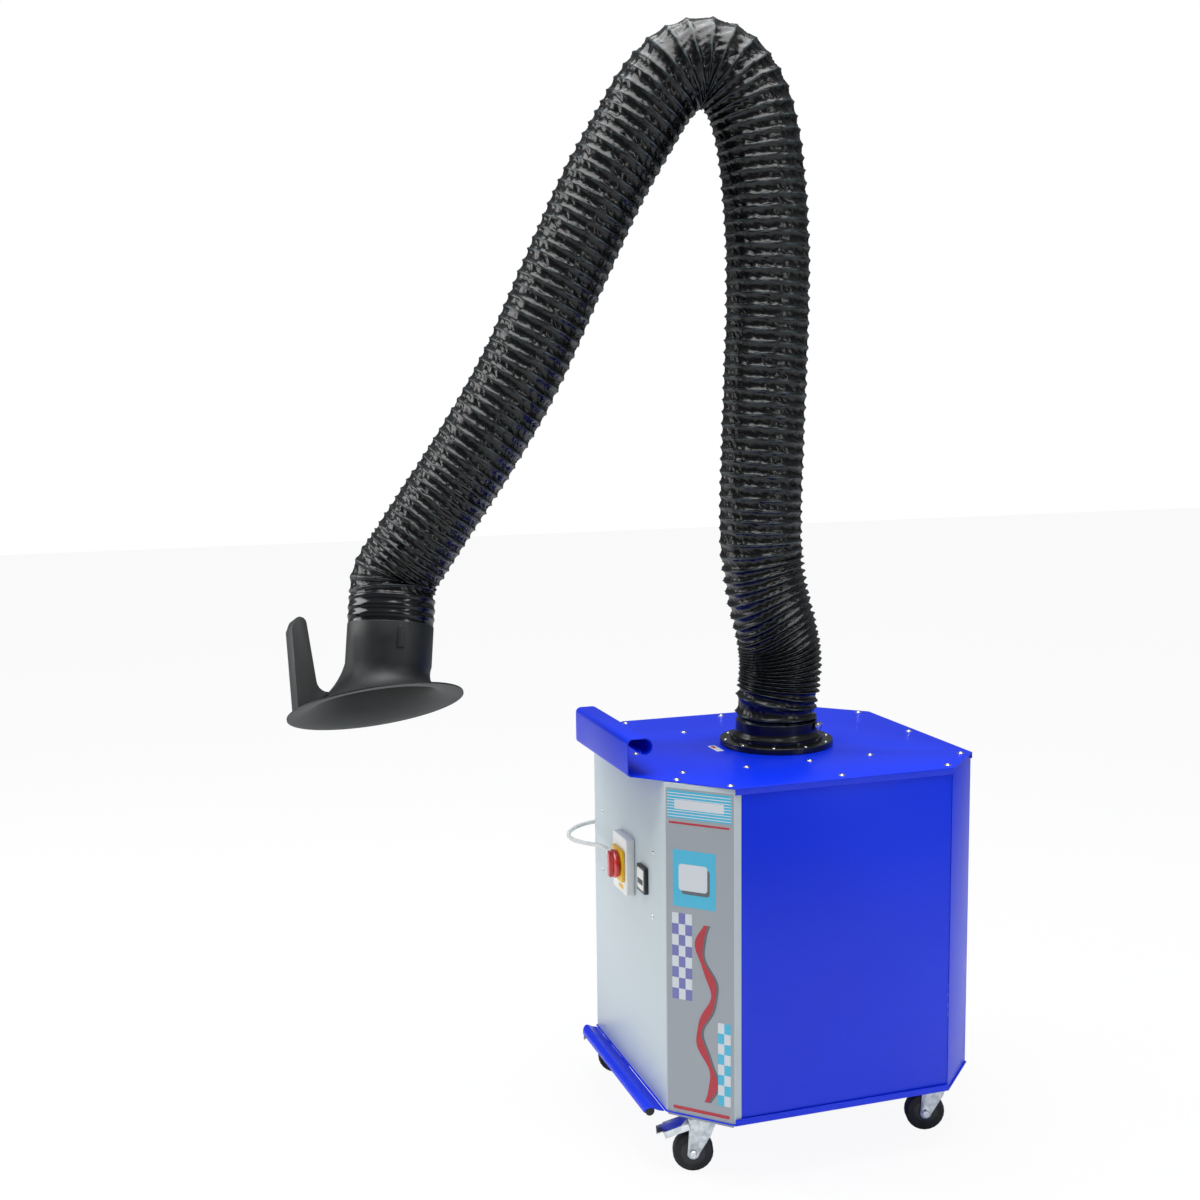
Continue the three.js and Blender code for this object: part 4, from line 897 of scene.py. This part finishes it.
worm_angle = math.radians(47)
worm_out = np.array([math.cos(worm_angle), math.sin(worm_angle), 0])
worm_along = np.array([-math.sin(worm_angle), math.cos(worm_angle), 0])
worm_centre = np.array([0, CENTRE_Y, LID_TOP + 43]) + worm_out * 91
worm = rounded(new_piece("band_worm_housing", *block_at(worm_centre, worm_along, worm_out, 24, 10, 15),
                         bright_zinc), 2.0, 3)
keep(worm, "arm_base", "zinc")
worm_screw = new_piece("band_worm_screw",
                       *lathe([(0, 0), (4.6, 0), (5.2, 1), (5.2, 5), (4.2, 6.5), (2.2, 6.5), (2.2, 3.5), (0, 3.5)],
                                                 worm_centre + worm_along * 11.5, worm_along, 20), screw_steel, 30)
keep(worm_screw, "arm_base", "zinc")

# %% Metal, plastic and inner CAD pieces
finishes = {
    rolled_steel: ["fan_deck", "fan_housing", "impeller", "motor_shaft", "shoulder_bracket", "lower_link",
                   "upper_link", "shoulder_pin",
                   "elbow_pin", "wrist_pin", "wrist_yoke", "wrist_block"],
    filter_paper: ["main_filter", "prefilter"], carbon_foam: ["carbon_filter"], cast_metal: ["fan_motor"],
    flange_abs: ["arm_turntable"], black_abs: ["mains_plug"],
}
for material, names in finishes.items():
    for name in names:
        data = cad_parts[name].data
        data.materials.clear()
        data.materials.append(material)

# %% [markdown]
# ## Cabinet panels
# Folded sheet keeps a small outside radius at every bend and every cut edge is dulled by the coat, so each CAD
# panel is copied, its coplanar triangles are joined into whole faces and its edges get a bevel.

# %% Cabinet panels
for node, name, material, radius in (
        ("lid", "cabinet_lid", blue_coat, 0.8), ("base_pan", "cabinet_base", blue_coat, 0.7),
        ("right_side_panel", "side_sheet_right", blue_coat, 0.6),
        ("left_side_panel", "side_sheet_left", blue_coat, 0.6),
        ("rear_panel", "rear_sheet", blue_coat, 0.6), ("front_panel", "front_sheet", grey_coat, 0.6)):
    slot = "grey_paint" if material is grey_coat else "blue_paint"
    keep(from_node(node, name, material, radius), "cabinet", slot, node)

# %% Push handle and kick guard
low, high = (np.array(c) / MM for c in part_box("push_handle"))
face, top = low[1], high[2]
HANDLE_HALF = high[0]
TOP_BEND, ROLL_RADIUS, TUCK_RADIUS, FOOT_BEND = 11, 17, 10, 8
roll_y, roll_z = face + TOP_BEND + 24, top - ROLL_RADIUS
handle_path = ([(lid_low[1] - 0.3, LID_TOP - 2)] + arc2(face + FOOT_BEND, LID_TOP - 2 + FOOT_BEND, FOOT_BEND,
                                                        270, 180, 6)
               + arc2(face + TOP_BEND, top - TOP_BEND, TOP_BEND, 180, 90, 8)
               + arc2(roll_y, roll_z, ROLL_RADIUS, 90, -90, 20)
               + arc2(roll_y, roll_z - ROLL_RADIUS + TUCK_RADIUS, TUCK_RADIUS, 270, 180, 8)[1:])
handle = new_piece("push_handle_sheet", *folded_sheet(handle_path, -2.0, -HANDLE_HALF, HANDLE_HALF), blue_coat, 40)
rounded(handle, 0.6, 2, 50, 40)
keep(handle, "cabinet", "blue_paint", "push_handle")
guard = from_node("kick_guard", "kick_guard_sheet", blue_coat, 0.6, 2, 40)
keep(guard, "cabinet", "blue_paint", "kick_guard")
bumper = from_node("bumper_rod", "bumper_cord", bumper_rubber, 1.5, 3, 40)
keep(bumper, "cabinet", "wheel_rubber", "bumper_rod")

# %% Other rounded pieces
for node, name, material, radius, body, slot in (
        ("inlet_flange", "inlet_ring", flange_abs, 1.2, "cabinet", "black_plastic"),
        ("hose_clamp", "hose_band", band_steel, 0.5, "arm_base", "zinc"),
        ("switch_box", "switch_enclosure", white_abs, 2.5, "cabinet", "white_plastic"),
        ("switch_plate", "switch_face", yellow_abs, 1.2, "cabinet", "yellow_plastic"),
        ("switch_knob", "switch_grip", red_abs, 1.5, "switch_knob", "red_plastic"),
        ("hour_meter", "meter_frame", black_abs, 1.2, "cabinet", "black_plastic"),
        ("cable_gland", "cord_gland", white_abs, 0.6, "cabinet", "white_plastic")):
    keep(from_node(node, name, material, radius, 3), body, slot, node)
castor_names = ("front_right", "front_left", "rear_right", "rear_left")
for castor in castor_names:
    keep(from_node(f"castor_plate_{castor}", f"swivel_plate_{castor}", zinc_plate, 0.8), "cabinet", "zinc",
         f"castor_plate_{castor}")
    keep(from_node(f"castor_fork_{castor}", f"fork_{castor}", zinc_plate, 0.8), f"swivel_{castor}", "zinc",
         f"castor_fork_{castor}")
    keep(from_node(f"castor_wheel_{castor}", f"tyre_{castor}", wheel_rubber, 1.5, 3, 25), f"wheel_{castor}",
         "wheel_rubber", f"castor_wheel_{castor}")
for castor in castor_names[:2]:
    keep(from_node(f"brake_pedal_{castor}", f"brake_lever_{castor}", bright_zinc, 0.6), f"pedal_{castor}",
         "zinc", f"brake_pedal_{castor}")

# %% [markdown]
# ## Screws
# One dome-headed screw with its washer is modelled with a cross recess, and Geometry Nodes set it on every
# fixing point. The recess is not cut: two thin black bars on the dome are painted shade standing in for its
# hollow. A point carries the direction its screw faces, the tree turns the head that way and spins each
# one by its own amount, since no two screws stop at the same angle.

# %% Screw template
def screw_template():
    dome = [(0.0, 3.6), (1.6, 3.5), (3.1, 3.1), (4.3, 2.3), (4.9, 1.3), (5.0, 0.9)]
    washer = [(7.6, 0.9), (8.0, 0.6), (8.0, 0.0), (0.0, 0.0)]
    mesh_parts = [new_piece("screw head", *lathe(dome + washer, (0, 0, 0), (0, 0, 1), 20), screw_steel, 30)]
    # the cross recess: two black bars standing slightly proud of the dome, painted shade in place of the hollow
    for turn in (0, 90):
        a = math.radians(turn)
        along = (math.cos(a), math.sin(a), 0)
        arm = new_piece("recess arm", *block_at((0, 0, 3.45), along, (-along[1], along[0], 0), 4.4, 1.0, 0.6),
                        black_abs)
        mesh_parts.append(arm)
    joined = mesh_parts[0].data.copy()
    work = bmesh.new()
    for index, part in enumerate(mesh_parts):
        start = len(work.faces)
        work.from_mesh(part.data)
        work.faces.ensure_lookup_table()
        for face in work.faces[start:]:
            face.material_index = min(index, 1)
    joined.materials.append(black_abs)
    work.to_mesh(joined)
    work.free()
    is_plated = joined.attributes.new("plated", "BOOLEAN", "FACE")
    is_plated.data.foreach_set("value", [face.material_index == 0 for face in joined.polygons])
    for part in mesh_parts:
        bpy.data.objects.remove(part)
    template = bpy.data.objects.new("screw template", joined)
    return template


screw = screw_template()


def fastener_tree():
    tree, given, _ = open_tree("dome screws", ("Screw", "Object", None), ("Head size", "Float", 1.0),
                               ("Seed", "Int", 5))
    facing = stored(tree, "facing", "FLOAT_VECTOR")
    stand = add_node(tree, "FunctionNodeAlignRotationToVector", {"Vector": facing}, axis="Z").outputs[0]
    spin = add_node(tree, "FunctionNodeRandomValue", {"Seed": given["Seed"]}, data_type="FLOAT")
    spin.inputs["Min"].default_value, spin.inputs["Max"].default_value = 0.0, 1.57
    # the float sockets of the random node are the ones that carry the angle
    angle = next(o for o in spin.outputs if o.type == "VALUE" and o.enabled)
    twist = add_node(tree, "FunctionNodeAxisAngleToRotation", {"Axis": (0, 0, 1), "Angle": angle}).outputs[0]
    turned = add_node(tree, "FunctionNodeRotateRotation", {"Rotation": stand, "Rotate By": twist},
                      rotation_space="LOCAL").outputs[0]
    shape = add_node(tree, "GeometryNodeObjectInfo", {"Object": given["Screw"]}).outputs["Geometry"]
    set_out = add_node(tree, "GeometryNodeInstanceOnPoints",
                       {"Points": given["Geometry"], "Instance": shape, "Rotation": turned,
                                                              "Scale": given["Head size"]}).outputs[0]
    return close_tree(tree, set_out, given, Selection=stored(tree, "plated", "BOOLEAN"))


fastening = fastener_tree()


def screws(name, places, size, body="cabinet"):
    """places: (point in millimetres, direction the head faces)."""
    mesh = bpy.data.meshes.new(name)
    mesh.from_pydata([tuple(np.array(p, float) * MM) for p, _ in places], [], [])
    facing = mesh.attributes.new("facing", "FLOAT_VECTOR", "POINT")
    facing.data.foreach_set("vector", np.array([d for _, d in places], float).ravel())
    piece = put_in_scene(name, mesh)
    modifier = piece.modifiers.new("screws", "NODES")
    modifier.node_group = fastening
    set_input(modifier, "Screw", screw)
    set_input(modifier, "Head size", size)
    set_input(modifier, "Material", screw_steel)
    baked(piece)
    keep(piece, body, "zinc")
    return piece


# %% Screws of the lid, the ring and the panels
PANEL_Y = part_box("front_panel")[0][1] / MM
lid_places = [(300, 230), (300, -230), (-300, 230), (-300, -230), (220, 307), (220, -307), (-220, 307),
              (-220, -307),
              (300, 0), (-300, 0), (0, 313), (-8, -309),
              (172, -276), (176, -144), (172, -6), (168, 130), (-172, -276), (-165, -143), (-170, -6), (-168, 130)]
screws("lid_screws", [((x, y + CENTRE_Y, LID_TOP), (0, 0, 1)) for x, y in lid_places], 0.95)
RING_BOLTS = 108.0  # radius of the ring of screws round the inlet
ring_angles = [math.radians(-99 + 36 * k) for k in range(10)]
screws("ring_screws",
       [((RING_BOLTS * math.cos(a), CENTRE_Y + RING_BOLTS * math.sin(a), LID_TOP + 12.0),
         (0, 0, 1)) for a in ring_angles], 0.62)
screws("front_screws",
       [((x, PANEL_Y, z), (0, -1, 0)) for x, z in ((-166, 624), (153, 626), (-164, 496), (146, 492))], 0.72)

# %% [markdown]
# ## Printed film on the front corner
# A vinyl film covers the right front chamfer. Its own lettering is left out: plain bars, blocks, a ribbon and two
# fields of checker tiles stand in for it. Every print is a thin layer on the film, and the tiles come from one
# Geometry Nodes tree with the number of columns and rows, the step, the tile and the parity as its inputs.

# %% Film and print materials
def print_ink(name, colour, gloss=0.22):
    material, tree, bsdf, place = start_material(name, colour, gloss, Coat_Weight=0.35, Coat_Roughness=0.1)
    grain = noise_at(tree, place, 0.8, 2.0)
    varied_gloss(tree, bsdf, grain, gloss, gloss + 0.08)
    raised(tree, bsdf, grain, 0.004)
    return material


film_vinyl = print_ink("printed_vinyl_film_grey", "#9CA3AA", 0.3)
ink = {"cyan": print_ink("print_ink_cyan", "#3FB7DA"), "pale": print_ink("print_ink_pale_grey", "#D5DBE0"),
       "violet": print_ink("print_ink_violet", "#6E72B4"), "red": print_ink("print_ink_red", "#B4162C"),
       "shadow": print_ink("print_ink_shadow", "#565E68")}

# %% Film and prints
CORNER_LEG = 102.0  # of the 45-degree chamfer
SIDE_X = 321.0  # the right side panel
corner = np.array([SIDE_X - CORNER_LEG, PANEL_Y, 0.0])
across = np.array([1.0, 1.0, 0.0]) / math.sqrt(2)
facing_out = np.array([1.0, -1.0, 0.0]) / math.sqrt(2)


def on_corner(u, z, lift):
    return corner + across * u + facing_out * lift + np.array([0, 0, z])


def print_layer(name, points, material, lift, thick=0.12, slot="white_plastic"):
    """A flat print with the outline (u, z), standing lift above the sheet."""
    rings = [[on_corner(u, z, lift) for u, z in points], [on_corner(u, z, lift + thick) for u, z in points]]
    return keep(new_piece(name, *skin(rings), material, 20), "cabinet", slot)


def bar_outline(u0, u1, z0, z1, radius=0.0):
    if radius == 0:
        return [(u0, z0), (u1, z0), (u1, z1), (u0, z1)]
    return (arc2(u1 - radius, z1 - radius, radius, 0, 90, 5) + arc2(u0 + radius, z1 - radius, radius, 90, 180, 5)
            + arc2(u0 + radius, z0 + radius, radius, 180, 270, 5) + arc2(u1 - radius, z0 + radius, radius, 270,
                                                                         360, 5))


print_layer("corner_film", bar_outline(2, 141, 118, 771, 3), film_vinyl, 0.05, slot="grey_paint")
print_layer("print_top_field", bar_outline(5, 136, 713, 767), ink["cyan"], 0.2, 0.08)
for row in range(9):
    print_layer(f"print_top_stripe_{row}", bar_outline(5, 136, 716 + 5.6 * row, 717.6 + 5.6 * row), ink["pale"],
                0.3, 0.06)
print_layer("print_top_bar", bar_outline(20, 121, 731, 749, 2), ink["pale"], 0.38, 0.06)
print_layer("print_thin_bar", bar_outline(8, 132, 702, 706), ink["red"], 0.2, 0.08, "red_plastic")
print_layer("print_square", bar_outline(16, 104, 541, 652), ink["cyan"], 0.2, 0.08)
print_layer("print_block_shadow", bar_outline(34, 92, 566, 618, 6), ink["shadow"], 0.3, 0.06)
print_layer("print_block", bar_outline(28, 87, 573, 625, 6), ink["pale"], 0.38, 0.06)
print_layer("print_foot_bar", bar_outline(14, 132, 133, 140, 3), ink["red"], 0.2, 0.08, "red_plastic")


def ribbon(name, offset, width, material, lift, slot):
    rows = []
    for t in np.linspace(0, 1, 90):
        u, z = 84 + offset + 15 * math.sin(4 * math.pi * t), 158 + 352 * t
        w = width * (0.5 + 0.5 * math.sin(5 * math.pi * t) ** 2)
        rows.append([on_corner(u + k * w, z, lift + h) for k, h in ((-1, 0), (1, 0), (1, 0.06), (-1, 0.06))])
    return keep(new_piece(name, *skin(rows), material, 20), "cabinet", slot)


ribbon("print_ribbon_shadow", 5, 9, ink["shadow"], 0.2, "grey_paint")
ribbon("print_ribbon", 0, 9, ink["red"], 0.3, "red_plastic")


# %% Checker tiles
def tile_tree():
    tree, given, maths = open_tree(
        "checker tiles", ("Columns", "Int", 3), ("Rows", "Int", 8), ("Parity", "Int", 0),
        ("Step across", "Float", 0.0138),
        ("Step up", "Float", 0.0214), ("Thickness", "Float", 0.0001))
    total = maths("MULTIPLY", given["Columns"], given["Rows"])
    line = add_node(tree, "GeometryNodeMeshLine", {"Count": total, "Offset": (0, 0, 0)}).outputs[0]
    index = add_node(tree, "GeometryNodeInputIndex").outputs[0]
    row = maths("FLOOR", maths("DIVIDE", maths("ADD", index, 0.01), given["Columns"]))
    column = maths("SUBTRACT", index, maths("MULTIPLY", row, given["Columns"]))
    spot = add_node(tree, "ShaderNodeCombineXYZ", {0: maths("MULTIPLY", column, given["Step across"]),
                                                   2: maths("MULTIPLY", row, given["Step up"])}).outputs[0]
    spread = add_node(tree, "GeometryNodeSetPosition", {"Geometry": line, "Position": spot}).outputs[0]
    odd = maths("MODULO", maths("ADD", row, column), 2.0)
    chosen = add_node(tree, "FunctionNodeCompare", {0: odd, 1: given["Parity"]}, operation="EQUAL",
                      data_type="FLOAT").outputs[0]
    size = add_node(tree, "ShaderNodeCombineXYZ",
                    {0: given["Step across"], 1: given["Thickness"], 2: given["Step up"]}).outputs[0]
    tile = add_node(tree, "GeometryNodeMeshCube", {"Size": size}).outputs[0]
    laid = add_node(tree, "GeometryNodeInstanceOnPoints",
                    {"Points": spread, "Selection": chosen, "Instance": tile}).outputs[0]
    return close_tree(tree, laid, given)


tiling = tile_tree()


def tiles(name, u, z, columns, rows, step_u, step_z, parity, material):
    mesh = bpy.data.meshes.new(name)
    mesh.from_pydata([(0, 0, 0)], [], [])
    piece = put_in_scene(name, mesh)
    modifier = piece.modifiers.new("tiles", "NODES")
    modifier.node_group = tiling
    for label, value in (("Columns", columns), ("Rows", rows), ("Parity", parity), ("Step across", step_u * MM),
                         ("Step up", step_z * MM), ("Thickness", 0.0001), ("Material", material)):
        set_input(modifier, label, value)
    baked(piece)
    foot = on_corner(u, z, 0.26) * MM
    turn = Matrix([[across[i], -facing_out[i], (0, 0, 1)[i], foot[i]] for i in range(3)] + [[0, 0, 0, 1]])
    piece.data.transform(turn)
    return keep(piece, "cabinet", "white_plastic")


for parity, shade in ((0, ink["violet"]), (1, ink["pale"])):
    tiles(f"print_checkers_upper_{parity}", 20.5, 367, 3, 8, 13.8, 21.4, parity, shade)
for parity, shade in ((0, ink["cyan"]), (1, ink["pale"])):
    tiles(f"print_checkers_lower_{parity}", 114.5, 168, 2, 8, 13.0, 20.6, parity, shade)

# %% [markdown]
# ## Small details
# The hour meter gets its face and window, the switch box and the lid their small labels, the wheels their hubs
# and axle bolts, and the hood's collar a moulded pad. All of them are blank.

# %% Meter face and labels
def plate(name, centre, width, height, thick, corner_radius, material, slot, body="cabinet"):
    """A thin plate that faces the front."""
    cx, cy, cz = centre
    outline = bar_outline(cx - width / 2, cx + width / 2, cz - height / 2, cz + height / 2, corner_radius)
    rings = [[(x, cy, z) for x, z in outline], [(x, cy - thick, z) for x, z in outline]]
    return keep(rounded(new_piece(name, *skin(rings), material, 25), min(0.4, thick / 3), 2), body, slot)


meter_low, meter_high = (np.array(c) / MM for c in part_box("hour_meter"))
meter_mid = (meter_low + meter_high) / 2
plate("meter_face", (meter_mid[0], meter_low[1] - 0.05, meter_mid[2]), 36, 42, 0.8, 3, white_abs, "white_plastic")
plate("meter_window", (meter_mid[0], meter_low[1] - 0.9, meter_mid[2] - 5), 29, 11, 0.4, 1.2, black_abs,
      "black_plastic")
plate_low, plate_high = (np.array(c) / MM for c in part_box("switch_plate"))
box_low = np.array(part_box("switch_box")[0]) / MM
plate("switch_label", ((plate_low[0] + plate_high[0]) / 2 + 8, box_low[1] - 0.05, box_low[2] + 13), 26, 9, 0.3,
      1, yellow_abs, "yellow_plastic")
lid_label = [[(x, y + CENTRE_Y, LID_TOP + h) for x,
              y in ((-22, -146), (30, -146), (30, -130), (-22, -130))] for h in (0.05, 0.25)]
keep(new_piece("lid_label", *skin(lid_label), ink["pale"], 20), "cabinet", "white_plastic")
lid_mark = [[(x, y + CENTRE_Y, LID_TOP + h) for x,
             y in ((-17, -142), (2, -142), (2, -134), (-17, -134))] for h in (0.3, 0.4)]
keep(new_piece("lid_label_mark", *skin(lid_mark), ink["red"], 20), "cabinet", "red_plastic")

# %% Hubs and axle bolts
WHEEL_FACE, FORK_FACE = 13.0, 18.7  # from the wheel's middle to its side and to the fork's outside


def wheel_axis(name):
    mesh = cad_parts[name].data
    coords = np.empty(len(mesh.vertices) * 3)
    mesh.vertices.foreach_get("co", coords)
    coords = coords.reshape(-1, 3) / MM
    low, high = (np.array(c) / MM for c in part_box(name))
    centre = (low + high) / 2
    flat = coords - coords.mean(0)
    values, vectors = np.linalg.eigh(flat.T @ flat)
    axis = vectors[:, 0]
    axis[2] = 0
    return centre, axis / np.linalg.norm(axis)


for castor in castor_names:
    centre, axis = wheel_axis(f"castor_wheel_{castor}")
    for side in (1, -1):
        face_at = centre + axis * side * WHEEL_FACE
        ring_profile = [(9, 0), (9, 0.9), (10, 1.3), (22, 1.3), (24, 0.7), (24.5, 0), (23, -0.4), (9, -0.4)]
        hub = new_piece(f"hub_{castor}_{side}", *lathe(ring_profile, face_at, axis * side, 40, closed=True),
                        black_abs, 35)
        keep(hub, f"wheel_{castor}", "black_plastic")
        bolt_foot = centre + axis * side * FORK_FACE
        bolt = new_piece(f"axle_nut_{castor}_{side}",
                         *lathe([(0, 0), (7.5, 0), (7.5, 4), (6.6, 5), (0, 5)], bolt_foot, axis * side, 6),
                         screw_steel, 25)
        keep(bolt, f"swivel_{castor}", "zinc")

# %% Collar pad
pad_angle = math.radians(15)
pad_side = arm_y * math.cos(pad_angle) - arm_x * math.sin(pad_angle)
pad_side = pad_side - collar_axis * pad_side.dot(collar_axis)
pad_side /= np.linalg.norm(pad_side)
pad_wide = np.cross(collar_axis, pad_side)
pad_foot = wrist_point + collar_axis * (COLLAR_START + 8) + pad_side * (COLLAR_RADIUS - 1.5)
pad_outline = [(-7, 44), (7, 44), (7, 8)] + arc2(0, 8, 7, 0, -180, 8)[1:] + [(-7, 8)]
pad_rings = [[pad_foot + pad_wide * u + collar_axis * v + pad_side * h for u, v in pad_outline] for h in (0, 5)]
keep(rounded(new_piece("collar_pad", *skin(pad_rings), hood_skin, 30), 1.2, 3), "hood", "hood_plastic")
